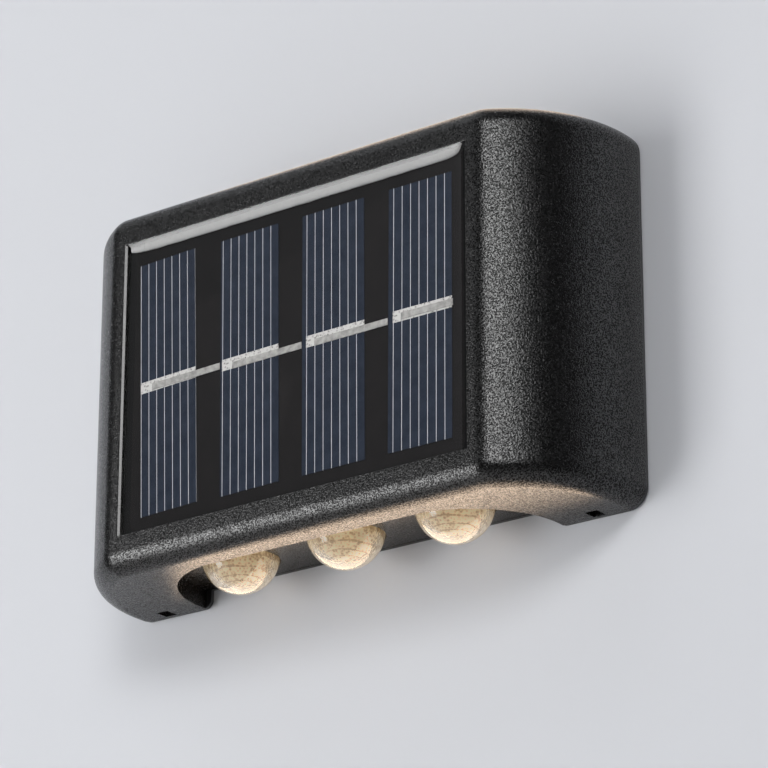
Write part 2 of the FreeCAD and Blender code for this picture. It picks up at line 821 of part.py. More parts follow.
def make_lens(way, side, name, x):
    body = new_body("lens_%s_%s" % (side, name))
    profile = new_sketch(body, "profile", "XZ_Plane")
    seat = size.lens_rise - size.wall
    outer, inner = size.lens_radius, size.lens_radius - size.lens_wall
    draw_outline(profile, [
        (0, outer, outer, -1), (outer, 0), (outer, seat), (lens_flange, seat),
        (lens_flange, seat - size.lens_flange_thickness), (inner, seat - size.lens_flange_thickness),
        (inner, 0, inner, 1), (0, inner),
    ])
    revolve(body, "dome", profile)
    turn(body, "z" if way > 0 else "-z")
    place(body, x, -lens_reach, way * dome_level)


def make_light_board(way, side):
    body = new_body("light_board_" + side)
    board = new_sketch(body, "board_plan", "XY_Plane", way * board_back_level)
    draw_rectangle(board, 0, -lens_reach, light_board_length, size.light_board_width)
    for x in light_screw_places:
        draw_circle(board, x, -lens_reach, size.small_screw + size.hole_gap)
    pad(body, "board", board, size.light_board_thickness, reverse=way < 0)

    level = way * (board_level + size.light_chip_height / 2)
    group("light_chips_" + side, [
        box("light_chip_%s_%s" % (side, name), size.light_chip_length, size.light_chip_width,
            size.light_chip_height, x, -lens_reach - size.light_chip_width / 2, level)
        for name, x in zip(lens_names, lens_places)])


def make_light_board_screws():
    head = board_back_level - size.small_screw_head_height
    group("light_board_screws", [
        screw("light_screw_%s_%d" % (side, number), x, -lens_reach, way * head, "z" if way > 0 else "-z",
              size.small_screw_head, size.small_screw_head_height, size.small_screw, size.small_screw_length)
        for way, side in sides for number, x in enumerate(light_screw_places, start=1)])


# Main circuit board with its parts and screws

def make_main_board():
    body = new_body("main_circuit_board")
    board = new_sketch(body, "board_outline", "XZ_Plane", main_board_back)
    draw_rectangle(board, 0, main_board_level, size.main_board_length, size.main_board_height)
    for x in main_boss_places:
        draw_circle(board, x, main_board_level, size.small_screw + size.hole_gap)
    pad(body, "board", board, size.main_board_thickness)

    head_depth = main_board_back - size.small_screw_head_height
    group("main_board_screws", [
        screw("main_screw_%d" % number, x, -head_depth, main_board_level, "-y", size.small_screw_head,
              size.small_screw_head_height, size.small_screw, size.small_screw_length)
        for number, x in enumerate(main_boss_places, start=1)])

    aside = size.main_board_length * part_place_share
    above = size.main_board_height * part_place_share
    upper, lower = main_board_level + above, main_board_level - above
    chip = box("control_chip", size.chip_length, size.chip_height, size.chip_width,
               -aside, -main_board_back, upper)
    coil = cylinder("choke_coil", size.coil_radius, size.coil_height, aside, -main_board_back, upper, "y")
    can = cylinder("capacitor", size.capacitor_radius, size.capacitor_height,
                   aside, -main_board_back, lower, "y")
    for item in (chip, coil, can):
        keep(item, item.Name)


# Push switch: its body stands on the main board and its button comes out through the back plate

def make_switch():
    body = new_body("switch_body")
    outline = new_sketch(body, "switch_outline", "XZ_Plane", switch_depth)
    draw_rounded(outline, 0, main_board_level, size.switch_width, size.switch_width, size.switch_corner)
    pad(body, "case", outline, main_board_back - switch_depth)
    bore = new_sketch(body, "bore_outline", "XZ_Plane", switch_depth)
    draw_circle(bore, 0, main_board_level, size.button_collar + size.slide_gap)
    pocket(body, "bore", bore, switch_bed - switch_depth, reverse=True)

    body = new_body("switch_seal")
    ring = new_sketch(body, "seal_outline", "XZ_Plane", core_depth)
    draw_circle(ring, 0, main_board_level, size.switch_seal_radius)
    draw_circle(ring, 0, main_board_level, size.button_radius + size.slide_gap)
    pad(body, "ring", ring, size.switch_seal)


def make_button():
    body = new_body("switch_button")
    foot = size.button_recess + size.button_length
    shoulder = switch_depth + size.slide_gap
    cap = new_sketch(body, "cap_outline", "XZ_Plane", size.button_recess)
    draw_circle(cap, 0, main_board_level, size.button_radius)
    pad(body, "cap", cap, size.button_length)
    round_edges(body, "cap_edge", size.button_edge, lambda edge: lies_at(edge, "y", -size.button_recess))
    collar = new_sketch(body, "collar_outline", "XZ_Plane", shoulder)
    draw_circle(collar, 0, main_board_level, size.button_collar)
    pad(body, "collar", collar, foot - shoulder)


def make_switch_dome():
    # a rubber dome on the floor of the switch's bore that pushes the button back
    body = new_body("switch_dome")
    profile = new_sketch(body, "profile", "XZ_Plane")
    wall, top, base = size.dome_wall, size.dome_top, size.dome_base
    height = size.button_travel + size.slide_gap - size.dome_gap
    draw_outline(profile, [
        (0, height), (top, height), (base, wall), (size.dome_flange, wall), (size.dome_flange, 0),
        (base - wall, 0), (top - wall, height - wall), (0, height - wall),
    ])
    revolve(body, "dome", profile)
    turn(body, "y")
    place(body, 0, -switch_bed, main_board_level)


# Battery, its holder with two contacts, and the tape under the holder

def make_battery():
    can = cylinder("battery_can", size.battery_radius, size.battery_length,
                   -size.battery_length / 2, -battery_depth, battery_level, "x")
    nub = cylinder("battery_nub", size.battery_nub, size.battery_nub_length,
                   size.battery_length / 2, -battery_depth, battery_level, "x")
    keep(join("battery_cell", [can, nub]), "battery_cell")


def make_battery_holder():
    body = new_body("battery_holder")
    middle = (holder_low + holder_high) / 2
    room_width = holder_high - holder_low
    room_height = 2 * (size.battery_radius + size.holder_gap)
    outer = new_sketch(body, "holder_outline", "XZ_Plane", tape_depth)
    draw_rectangle(outer, middle, battery_level, room_width + 2 * size.holder_wall,
                   room_height + 2 * size.holder_wall)
    pad(body, "holder", outer, size.holder_height, reverse=True)
    room = new_sketch(body, "room_outline", "XZ_Plane", holder_top)
    draw_rectangle(room, middle, battery_level, room_width, room_height)
    pocket(body, "room", room, size.holder_height - size.holder_floor, reverse=True)
    notch = new_sketch(body, "finger_notch_outline", "XZ_Plane", holder_top)
    draw_rectangle(notch, middle, battery_level, size.finger_notch_length,
                   room_height + 2 * size.holder_wall + 2 * size.overrun)
    pocket(body, "finger_notch", notch, size.finger_notch_depth, reverse=True)

    keep(box("holder_tape", room_width - 2 * size.tape_margin, size.tape_thickness,
             room_height - 2 * size.tape_margin, middle, -floor_depth, battery_level), "holder_tape")


def make_contacts():
    keep(box("battery_contact", size.contact_thickness, holder_bed - contact_end, size.contact_width,
             holder_high - size.contact_thickness / 2, -holder_bed, battery_level), "battery_contact")

    # the sprung contact is a strip on the end wall with a bent tongue that presses on the battery
    body = new_body("battery_spring")
    profile = new_sketch(body, "spring_profile", "XY_Plane", battery_level)
    thick = size.contact_thickness
    strip_face = holder_low + thick
    heel = strip_face + thick
    tip = -size.battery_length / 2
    draw_outline(profile, [
        (holder_low, -holder_bed), (heel, -holder_bed), (tip, -battery_depth), (heel + thick, -holder_top),
        (heel, -holder_top), (tip - thick, -battery_depth), (strip_face, thick - holder_bed),
        (strip_face, -contact_end), (holder_low, -contact_end),
    ])
    pad(body, "spring", profile, size.contact_width, both_ways=True)


# Wires: tubes of straight runs and tangent arcs

def wire(points):
    bend = size.wire_bend.value
    corners = [FreeCAD.Vector(*[as_length(part).value for part in point]) for point in points]
    edges = []
    start = corners[0]
    for before, corner, after in zip(corners, corners[1:], corners[2:]):
        way_in = (corner - before).normalize()
        way_out = (after - corner).normalize()
        first = corner - way_in * bend
        last = corner + way_out * bend
        middle = corner + (way_out - way_in) * bend * bend_middle_share
        edges.append(Part.LineSegment(start, first).toShape())
        edges.append(Part.Arc(first, middle, last).toShape())
        start = last
    edges.append(Part.LineSegment(start, corners[-1]).toShape())
    ring = Part.Circle(corners[0], corners[1] - corners[0], size.wire_radius.value)
    return Part.Wire(edges).makePipeShell([Part.Wire(ring.toShape())], True, False)


def wires(label, routes):
    item = doc.addObject("Part::Feature", label)
    item.Shape = Part.makeCompound([wire(route) for route in routes])
    keep(item, label)


def make_wires():
    pair = (-size.wire_spacing / 2, size.wire_spacing / 2)

    # from the back of the solar panel through the hole in the tray
    between = (floor_depth + size.main_board_depth) / 2
    wires("panel_wires", [[
        (shift, -board_depth, wire_hole_level), (shift, -between, wire_hole_level),
        (shift, -between, main_board_high), (shift, -size.main_board_depth, main_board_high)]
        for shift in pair])

    # from each light board; the lower pair goes round the battery holder
    column = main_boss_places[1] - size.wire_spacing / 2
    run_depth = main_board_back - size.wire_lift
    wires("light_wires_top", [[
        (column + shift, -run_depth, board_back_level), (column + shift, -run_depth, main_board_high),
        (column + shift, -main_board_back, main_board_high)] for shift in pair])
    outside = light_board_length / 2 - size.wire_spacing
    foot = column + size.wire_spacing
    routes = []
    for shift in pair:
        level = main_board_low + size.wire_spacing + shift
        routes.append([(outside + shift, -run_depth, -board_back_level), (outside + shift, -run_depth, level),
                       (foot, -run_depth, level), (foot, -main_board_back, level)])
    wires("light_wires_bottom", routes)

    # from each battery contact, below the keyholes' pockets, over whichever stands nearer to the back plate
    over = as_length(min(contact_end.value, main_board_back.value)) - size.battery_wire_lift
    inside = main_boss_places[1] - 2 * size.wire_spacing
    level = main_board_low - size.battery_wire_step
    middles = (holder_low + size.contact_thickness / 2, holder_high - size.contact_thickness / 2)
    wires("battery_wires", [[
        (x, -contact_end, battery_level), (x, -over, battery_level), (x, -over, level),
        (foot, -over, level), (foot, -over, main_board_low), (foot, -main_board_back, main_board_low)]
        for x, foot in zip(middles, (-inside, inside))])


def main():
    make_front_housing()
    make_back_plate()
    make_plate_seal()
    make_plate_screws()
    make_panel_board()
    make_cells()
    make_panel_resin()
    for way, side in sides:
        for name, x in zip(lens_names, lens_places):
            make_lens(way, side, name, x)
        make_light_board(way, side)
    make_light_board_screws()
    make_main_board()
    make_switch()
    make_button()
    make_switch_dome()
    make_battery()
    make_battery_holder()
    make_contacts()
    make_wires()


def check_and_write():
    doc.recompute()
    for item in doc.Objects:
        if "Invalid" in item.State or "Error" in item.State:
            raise RuntimeError("%s failed: %s" % (item.Name, item.State))
    for item in nodes:
        shape = item.Shape
        if shape.isNull() or not shape.isValid():
            raise RuntimeError("%s has no valid shape" % item.Label)
    for item in nodes:
        item.Shape.exportStep("parts/%s.step" % item.Label)
        print("%s: %d solids, %.1f mm3" % (item.Label, len(item.Shape.Solids), item.Shape.Volume))


main()
check_and_write()
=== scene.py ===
import math

import bmesh
import bpy
from mathutils import Matrix, Vector


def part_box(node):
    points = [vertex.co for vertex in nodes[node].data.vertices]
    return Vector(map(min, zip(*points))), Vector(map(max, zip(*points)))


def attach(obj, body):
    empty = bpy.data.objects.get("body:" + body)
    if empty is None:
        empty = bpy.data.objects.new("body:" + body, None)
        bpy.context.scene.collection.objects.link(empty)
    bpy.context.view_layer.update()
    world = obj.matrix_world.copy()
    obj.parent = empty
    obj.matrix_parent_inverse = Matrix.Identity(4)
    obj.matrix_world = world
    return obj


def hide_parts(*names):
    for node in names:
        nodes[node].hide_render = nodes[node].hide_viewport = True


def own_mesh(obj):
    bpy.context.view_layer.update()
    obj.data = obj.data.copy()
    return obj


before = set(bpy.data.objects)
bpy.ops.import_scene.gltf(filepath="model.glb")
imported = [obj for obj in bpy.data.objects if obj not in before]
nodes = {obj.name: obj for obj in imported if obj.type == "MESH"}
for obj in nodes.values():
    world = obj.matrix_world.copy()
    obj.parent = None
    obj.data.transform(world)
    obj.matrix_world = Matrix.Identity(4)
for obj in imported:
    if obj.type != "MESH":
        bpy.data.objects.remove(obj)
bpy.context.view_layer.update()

# Solar up-and-down wall light: the CAD nodes with their finishes, and finer pieces over the ones that show.
# Objects are in metres, +X right, +Y into the wall, +Z up, z = 0 at the middle of the panel. The pieces'
# dictionaries hold millimetres and degrees; stage, lamps and camera are in metres. Scales of grain and
# clouds are per metre, or per millimetre on a UV map.

mm = 0.001
mergeReach = 0.002   # points nearer than this become one
slack = 0.01         # places nearer than this count as level


# Mesh helpers

def lineTo(bm, vert, place):
    last = bm.verts.new(place)
    bm.edges.new((vert, last))
    return last


def spinArc(bm, vert, centre, degrees, steps, axis=(0, 0, 1)):
    # draws an arc from the vertex and returns the arc's last vertex
    made = bmesh.ops.spin(bm, geom=[vert], cent=centre, axis=axis, angle=math.radians(degrees), steps=steps)
    return [item for item in made["geom_last"] if isinstance(item, bmesh.types.BMVert)][0]


def turnProfile(bm, steps):
    # turns a profile right round the Z axis
    bmesh.ops.spin(bm, geom=bm.verts[:] + bm.edges[:], cent=(0, 0, 0), axis=(0, 0, 1),
                   angle=math.tau, steps=steps, use_merge=True)


def roundEdges(bm, edges, radius, segments):
    return bmesh.ops.bevel(bm, geom=edges, offset=radius, segments=segments, profile=0.5,
                           affect="EDGES", material=-1)


def toMetres(bm):
    bmesh.ops.scale(bm, verts=bm.verts, vec=(mm, mm, mm))


def mapMillimetres(bm, place):
    # a UV map in millimetres; place gives a point's two numbers
    flat = bm.loops.layers.uv.new("millimetres")
    for face in bm.faces:
        for loop in face.loops:
            loop[flat].uv = place(loop.vert.co)


def asObject(bm, name):
    mesh = bpy.data.meshes.new(name)
    bm.to_mesh(mesh)
    bm.free()
    made = bpy.data.objects.new(name, mesh)
    bpy.context.collection.objects.link(made)
    return made


def temporary(bm, name):
    # millimetres to metres, as an object that a boolean can use
    toMetres(bm)
    return asObject(bm, name)


def takeBack(bm, mesh):
    # adds a temporary mesh to a bmesh; what held the mesh goes with it
    bm.from_mesh(mesh)
    bpy.data.meshes.remove(mesh)


def addPart(bm, part):
    held = bpy.data.meshes.new("part")
    part.to_mesh(held)
    part.free()
    takeBack(bm, held)


def toPiece(bm, name, node, materials, sharpAngle=None, body="lamp"):
    # the finished mesh, standing for a CAD node
    bmesh.ops.remove_doubles(bm, verts=bm.verts, dist=mergeReach * mm)
    bmesh.ops.recalc_face_normals(bm, faces=bm.faces)
    piece = asObject(bm, name)
    for material in materials:
        piece.data.materials.append(material)
    if sharpAngle is not None:
        piece.data.shade_smooth()
        piece.data.set_sharp_from_angle(angle=math.radians(sharpAngle))
    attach(piece, body)
    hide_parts(node)
    return piece


# Material helpers

def grey(level):
    return (level, level, level)


def newMaterial(name):
    material = bpy.data.materials.new(name)
    material.use_nodes = True
    tree = material.node_tree
    return material, tree, tree.nodes["Principled BSDF"]


def feed(tree, node, inputs):
    # each input takes a link from a socket, a colour of three numbers, or a number
    for name, value in inputs.items():
        if isinstance(value, bpy.types.NodeSocket):
            tree.links.new(value, node.inputs[name])
        else:
            node.inputs[name].default_value = (*value, 1) if isinstance(value, tuple) else value


def addNode(tree, kind, inputs=None, **settings):
    node = tree.nodes.new(kind)
    for name, value in settings.items():
        setattr(node, name, value)
    feed(tree, node, inputs or {})
    return node


def nodeMaths(tree):
    # a short way to chain Math nodes, from sockets and numbers
    def calculate(operation, *values):
        return addNode(tree, "ShaderNodeMath", dict(enumerate(values)), operation=operation).outputs[0]
    return calculate


def coordinates(tree, kind="Object"):
    return addNode(tree, "ShaderNodeTexCoord").outputs[kind]


def separate(tree, vector):
    return addNode(tree, "ShaderNodeSeparateXYZ", {0: vector}).outputs


def noise(tree, vector, scale, detail=2.0, roughness=0.5):
    return addNode(tree, "ShaderNodeTexNoise", {"Vector": vector, "Scale": scale, "Detail": detail,
                                                "Roughness": roughness}).outputs["Fac"]


def speckles(tree, vector, scale):
    return addNode(tree, "ShaderNodeTexVoronoi", {"Vector": vector, "Scale": scale}).outputs["Distance"]


def ramp(tree, factor, stops, *colours):
    node = addNode(tree, "ShaderNodeValToRGB", {"Fac": factor})
    elements = node.color_ramp.elements
    while len(elements) < len(stops):
        elements.new(0.5)
    for element, place, colour in zip(elements, stops, colours):
        element.position = place
        element.color = (*colour, 1)
    return node.outputs["Color"]


def bump(tree, height, strength, depth):
    return addNode(tree, "ShaderNodeBump", {"Height": height, "Strength": strength,
                                            "Distance": depth * mm}).outputs["Normal"]


def mixColour(tree, factor, first, second):
    return addNode(tree, "ShaderNodeMix", {"Factor": factor, 6: first, 7: second}, data_type="RGBA").outputs[2]


def letThrough(tree, shader, share, tint):
    # where the share is 1, light goes straight through the surface
    clear = addNode(tree, "ShaderNodeBsdfTransparent", {"Color": tint})
    mix = addNode(tree, "ShaderNodeMixShader", {
        "Fac": share, 1: shader.outputs["BSDF"], 2: clear.outputs["BSDF"]})
    tree.links.new(mix.outputs["Shader"], tree.nodes["Material Output"].inputs["Surface"])


# Finishes that several pieces share

unevenness = {
    # the lowest and highest colour and roughness, as shares of those asked for, and the clouds' stops
    "dark": 0.88, "light": 1.12, "smooth": 0.9, "rough": 1.12, "stops": (0.3, 0.7),
    # scales of the clouds and of the fine grain, as shares of the finish's grain
    "cloud": 0.3, "fine": 4.0, "bump": 0.5,
}


def clouded(tree, cloud, colour, low, high):
    # from a low share of the colour to a high one
    shades = [tuple(min(part * share, 1) for part in colour) for share in (low, high)]
    return ramp(tree, cloud, unevenness["stops"], *shades)


def plainFinish(name, colour, roughness, metallic=0.0, grain=400.0, grainDepth=0.02):
    # a moulded, plated or painted finish: fine grain in the bump, and a little unevenness in the colour
    look = unevenness
    material, tree, shader = newMaterial(name)
    where = coordinates(tree)
    cloud = noise(tree, where, grain * look["cloud"], 3)
    fine = noise(tree, where, grain * look["fine"])
    feed(tree, shader, {
        "Metallic": metallic,
        "Base Color": clouded(tree, cloud, colour, look["dark"], look["light"]),
        "Roughness": clouded(tree, cloud, grey(roughness), look["smooth"], look["rough"]),
        "Normal": bump(tree, fine, look["bump"], grainDepth)})
    return material


bondedLook = {"cloud": 220.0, "dark": 0.9, "light": 1.12, "roughness": 0.6, "specular": 0.04}


def bondedFinish(name, colour):
    # a surface with resin cast onto it, so that it has no gloss of its own
    look = bondedLook
    material, tree, shader = newMaterial(name)
    cloud = noise(tree, coordinates(tree), look["cloud"], 3)
    feed(tree, shader, {"Base Color": clouded(tree, cloud, colour, look["dark"], look["light"]),
                        "Roughness": look["roughness"], "Specular IOR Level": look["specular"]})
    return material


# how the smears lie on clear pieces: the clouds' scale as a share of the grain's, their stops, and the bump
smears = {"cloud": 0.5, "stops": (0.35, 0.75), "bump": 0.6}


def clearFinish(name, look):
    # clear plastic or resin; lamps shine straight through it, so that what lies behind is lit
    material, tree, shader = newMaterial(name)
    where = coordinates(tree)
    cloud = noise(tree, where, look["grainScale"] * smears["cloud"], 3)
    feed(tree, shader, {
        "Base Color": look["tint"], "Transmission Weight": 1.0, "IOR": look["ior"],
        "Roughness": ramp(tree, cloud, smears["stops"], grey(look["roughness"]),
                          grey(look["roughness"] + look["smear"])),
        "Normal": bump(tree, noise(tree, where, look["grainScale"]), smears["bump"], look["grainDepth"])})
    letThrough(tree, shader, addNode(tree, "ShaderNodeLightPath").outputs["Is Shadow Ray"], look["tint"])
    return material


# Front housing, cut like the moulding: an outer block less the hollow, the recesses and the holes

housing = {
    "width": 119.5, "height": 73.5, "depth": 28.8, "rear": 0.8, "wall": 2.0,
    "sideRadius": 29.3, "sideCentre": 2.4, "sideSteps": 30, "creaseRadius": 6.0, "creaseSteps": 8,
    "edgeRadius": 4.0, "edgeSegments": 10, "sharpAngle": 32, "normalWeight": 60,
    "recessWidth": 83.5, "recessReach": 21.7, "recessRadius": 19.4, "recessCentre": 2.5, "recessDepth": 3.65,
    "lensHole": 7.65, "lensPitch": 24.95, "lensReach": 11.1, "holeSteps": 96,
    "windowSpacing": 100.0, "windowWidth": 2.6, "windowLength": 3.0, "windowEdge": 1.3,
    # the panel's tray, the recess cut into it, its rounded edge, and the left edge's chamfer, across and deep
    "panelWidth": 80.6, "panelHeight": 60.6, "panelDepth": 3.0, "panelLow": -29.75, "panelHigh": 29.85,
    "panelEdge": 0.12, "panelSegments": 4, "chamfer": (0.5, 0.35),
    # what counts as the recess's edge and as its chamfer
    "panelReach": 0.05, "chamferMargin": 0.02, "chamferTilt": 0.1,
    # bosses: places, radius, hole, distance of the top from the wall, and depth of the hole
    "bosses": (
        {"places": ((-39, -24.5), (-39, 24.5), (39, -24.5), (39, 24.5)),
         "radius": 3.2, "hole": 1.45, "top": 2.0, "reach": 11.0},
        {"places": ((-19, 12), (19, 12)), "radius": 2.4, "hole": 1.05, "top": 15.0, "reach": 3.4}),
    "lightBoss": {"radius": 2.4, "hole": 1.05, "height": 1.2, "reach": 2.6},
    "wireHole": {"radius": 2.2, "level": 18.0},
    # a boss is sunk into what carries it, and a cutter runs past what it cuts
    "bossSteps": 48, "pilotSteps": 32, "sunk": 0.5, "past": 1.0,
}

housingFinish = {
    # the tips' lighter colour is grain tone with a painted highlight
    "colour": (0.0045, 0.0044, 0.0043), "tip": (0.0085, 0.0083, 0.0081), "tipStops": (0.46, 0.74),
    "grainScale": 3500.0, "grainDepth": 0.07,
    # the coarse grain's scale and height, as shares of the fine grain's
    "coarse": 0.4, "coarseShare": 0.05,
    "roughness": 0.24, "smoother": 0.85, "rougher": 1.2, "roughStops": (0.35, 0.7),
    # specular level in the grain's pits and on its tips: painted shade in the pits, a painted highlight on the
    # tips
    "pitPaintedShade": 0.12, "tipPaintedShine": 0.76, "shineStops": (0.42, 0.60),
    "edgeRoughness": 0.20, "edgeGrain": 650.0, "edgeDepth": 0.06,
}


def sandedPlastic():
    # black plastic with an eroded, sand-like grain; the tips carry grain tone and a painted highlight, the pits
    # painted shade
    look = housingFinish
    material, tree, shader = newMaterial("sanded black plastic")
    where = coordinates(tree)
    grain = noise(tree, where, look["grainScale"], 1)
    coarse = noise(tree, where, look["grainScale"] * look["coarse"])
    height = nodeMaths(tree)("MULTIPLY_ADD", coarse, look["coarseShare"], grain)
    feed(tree, shader, {
        # grain tone with a painted highlight on the tips
        "Base Color": ramp(tree, grain, look["tipStops"], look["colour"], look["tip"]),
        "Roughness": ramp(tree, coarse, look["roughStops"], grey(look["roughness"] * look["smoother"]),
                          grey(look["roughness"] * look["rougher"])),
        # painted shade in the pits and a painted highlight on the tips
        "Specular IOR Level": ramp(tree, grain, look["shineStops"], grey(look["pitPaintedShade"]), grey(look["tipPaintedShine"])),
        "Normal": bump(tree, height, 1.0, look["grainDepth"])})
    return material


def archedBlock(width, depth, radius, centre, rear, low, high, crease=None):
    # a block with a flat front and two bowed sides; the outline is spun and the block extruded
    middle = width / 2 - radius
    rearAngle = math.degrees(math.asin((centre - rear) / radius))
    if crease:
        reach = math.sqrt((radius - crease) ** 2 - (depth - crease - centre) ** 2)
        creaseAngle = math.degrees(math.atan2(depth - crease - centre, reach))
    else:
        creaseAngle = math.degrees(math.asin((depth - centre) / radius))
    bm = bmesh.new()
    last = bm.verts.new((middle + radius * math.cos(math.radians(rearAngle)), -rear, low))
    last = spinArc(bm, last, (middle, -centre, low), -(creaseAngle + rearAngle), housing["sideSteps"])
    if crease:
        spinArc(bm, last, (middle + reach, crease - depth, low), creaseAngle - 90, housing["creaseSteps"])
    bmesh.ops.mirror(bm, geom=bm.verts[:] + bm.edges[:], axis="X", merge_dist=mergeReach)
    # the loose ends at the front are joined, and those at the rear
    ends = sorted((vert for vert in bm.verts if len(vert.link_edges) == 1), key=lambda vert: vert.co.y)
    bm.edges.new(ends[:2])
    bm.edges.new(ends[2:])
    face = bmesh.ops.contextual_create(bm, geom=bm.edges[:])["faces"][0]
    made = bmesh.ops.extrude_face_region(bm, geom=[face])
    raised = [item for item in made["geom"] if isinstance(item, bmesh.types.BMVert)]
    bmesh.ops.translate(bm, verts=raised, vec=(0, 0, high - low))
    bmesh.ops.recalc_face_normals(bm, faces=bm.faces)
    return bm


def boxBlock(low, high):
    bm = bmesh.new()
    bmesh.ops.create_cube(bm, size=1)
    bmesh.ops.scale(bm, verts=bm.verts, vec=[b - a for a, b in zip(low, high)])
    bmesh.ops.translate(bm, verts=bm.verts, vec=[(a + b) / 2 for a, b in zip(low, high)])
    return bm


def centredBlock(spans):
    return boxBlock([-span / 2 for span in spans], [span / 2 for span in spans])


def roundBlock(radius, low, high, segments):
    # a cylinder along the line from low to high
    bm = bmesh.new()
    line = Vector(high) - Vector(low)
    bmesh.ops.create_cone(bm, cap_ends=True, segments=segments, radius1=radius, radius2=radius,
                          depth=line.length)
    turn = Vector((0, 0, 1)).rotation_difference(line)
    bmesh.ops.transform(bm, matrix=turn.to_matrix().to_4x4(), verts=bm.verts)
    bmesh.ops.translate(bm, verts=bm.verts, vec=(Vector(low) + Vector(high)) / 2)
    return bm


def combine(target, tools, operation):
    for number, tool in enumerate(tools):
        change = target.modifiers.new("%s %d" % (operation.lower(), number), "BOOLEAN")
        change.operation = operation
        change.solver = "EXACT"
        change.object = tool
    finished = bpy.data.meshes.new_from_object(target.evaluated_get(bpy.context.evaluated_depsgraph_get()))
    target.modifiers.clear()
    old = target.data
    target.data = finished
    for mesh in [old] + [tool.data for tool in tools]:
        bpy.data.meshes.remove(mesh)


def outerBlock():
    size = housing
    half = size["height"] / 2
    bm = archedBlock(size["width"], size["depth"], size["sideRadius"], size["sideCentre"], size["rear"],
                     -half, half, size["creaseRadius"])
    rims = [edge for edge in bm.edges
            if abs(edge.verts[0].co.z - edge.verts[1].co.z) < slack
            and min(vert.co.y for vert in edge.verts) < -size["rear"] - slack]
    roundEdges(bm, rims, size["edgeRadius"], size["edgeSegments"])
    return temporary(bm, "outer block")


def hollowBlock():
    # the hollow, less the panel's tray and the two recess blocks that stand in it
    size = housing
    half, wall = size["height"] / 2, size["wall"]
    hollow = temporary(archedBlock(
        size["width"] - 2 * wall, size["depth"] - wall, size["sideRadius"] - wall, size["sideCentre"], 0.0,
        wall - half, half - wall), "hollow")
    trayBack = size["depth"] - size["panelDepth"] - wall
    wide, high = size["panelWidth"] / 2 + wall, size["panelHeight"] / 2 + wall
    kept = [temporary(boxBlock((-wide, -size["depth"], -high), (wide, -trayBack, high)), "tray")]
    seat = half - size["recessDepth"] - wall
    for way in (-1, 1):
        low, high = sorted((way * seat, way * (half + size["past"])))
        kept.append(temporary(archedBlock(
            size["recessWidth"] + 2 * wall, size["recessReach"] + wall, size["recessRadius"] + wall,
            size["recessCentre"], -size["past"], low, high), "recess block"))
    combine(hollow, kept, "DIFFERENCE")
    return hollow


def recessCutters():
    # the arched light recesses in the top and the bottom, and the lens holes in their ceilings
    size = housing
    half, past, y = size["height"] / 2, size["past"], -size["lensReach"]
    ceiling = half - size["recessDepth"]
    cutters = []
    for way in (-1, 1):
        low, high = sorted((way * ceiling, way * (half + 2 * past)))
        cutters.append(temporary(archedBlock(
            size["recessWidth"], size["recessReach"], size["recessRadius"], size["recessCentre"], -past,
            low, high), "recess"))
        low, high = sorted((way * (ceiling - 2 * size["wall"]), way * (ceiling + 2 * past)))
        for number in (-1, 0, 1):
            x = number * size["lensPitch"]
            cutters.append(temporary(roundBlock(size["lensHole"], (x, y, low), (x, y, high), size["holeSteps"]),
                                     "lens hole"))
    return cutters


def panelRecess():
    # the left wall flares outwards at the front, which cuts the chamfer
    size = housing
    wide, depth, past = size["panelWidth"] / 2, size["depth"], size["past"]
    across, deep = size["chamfer"]
    bm = boxBlock((-wide, -depth - past, size["panelLow"]),
                  (wide, size["panelDepth"] - depth, size["panelHigh"]))
    bmesh.ops.bisect_plane(bm, geom=bm.verts[:] + bm.edges[:] + bm.faces[:], plane_co=(0, deep - depth, 0),
                           plane_no=(0, 1, 0))
    for vert in bm.verts:
        if vert.co.x < 0 and vert.co.y < deep - depth - slack:
            vert.co.x -= across * (past + deep) / deep
    return temporary(bm, "panel recess")


def windowCutters():
    # the snap windows in the top and the bottom
    size = housing
    half, across = size["height"] / 2 + size["past"], size["windowWidth"] / 2
    near, far = size["windowEdge"], size["windowEdge"] + size["windowLength"]
    cutters = []
    for side in (-1, 1):
        x = side * size["windowSpacing"] / 2
        cutters.append(temporary(boxBlock((x - across, -far, -half), (x + across, -near, half)), "window"))
    return cutters


def bossBlocks():
    # posts on the back of the tray and on the recess ceilings, and the screws' holes in them
    size = housing
    past, sunk = size["past"], size["sunk"]
    floor = size["depth"] - size["panelDepth"] - size["wall"]
    ceiling = size["height"] / 2 - size["recessDepth"] - size["wall"]
    bosses, pilots = [], []

    def addPost(post, low, high, holeLow, holeHigh):
        bosses.append(temporary(roundBlock(post["radius"], low, high, size["bossSteps"]), "boss"))
        pilots.append(temporary(roundBlock(post["hole"], holeLow, holeHigh, size["pilotSteps"]), "pilot"))

    for post in size["bosses"]:
        for x, z in post["places"]:
            top = post["top"]
            addPost(post, (x, -top, z), (x, -floor - sunk, z), (x, past - top, z), (x, -top - post["reach"], z))
    post = size["lightBoss"]
    for way in (-1, 1):
        for side in (-0.5, 0.5):
            x, y, end = side * size["lensPitch"], -size["lensReach"], ceiling - post["height"]
            addPost(post, (x, y, way * end), (x, y, way * (ceiling + sunk)),
                    (x, y, way * (end - past)), (x, y, way * (end + post["reach"])))
    radius, z = size["wireHole"]["radius"], size["wireHole"]["level"]
    pilots.append(temporary(roundBlock(
        radius, (0, -size["depth"], z), (0, past - floor, z), size["pilotSteps"]), "wire hole"))
    return bosses, pilots


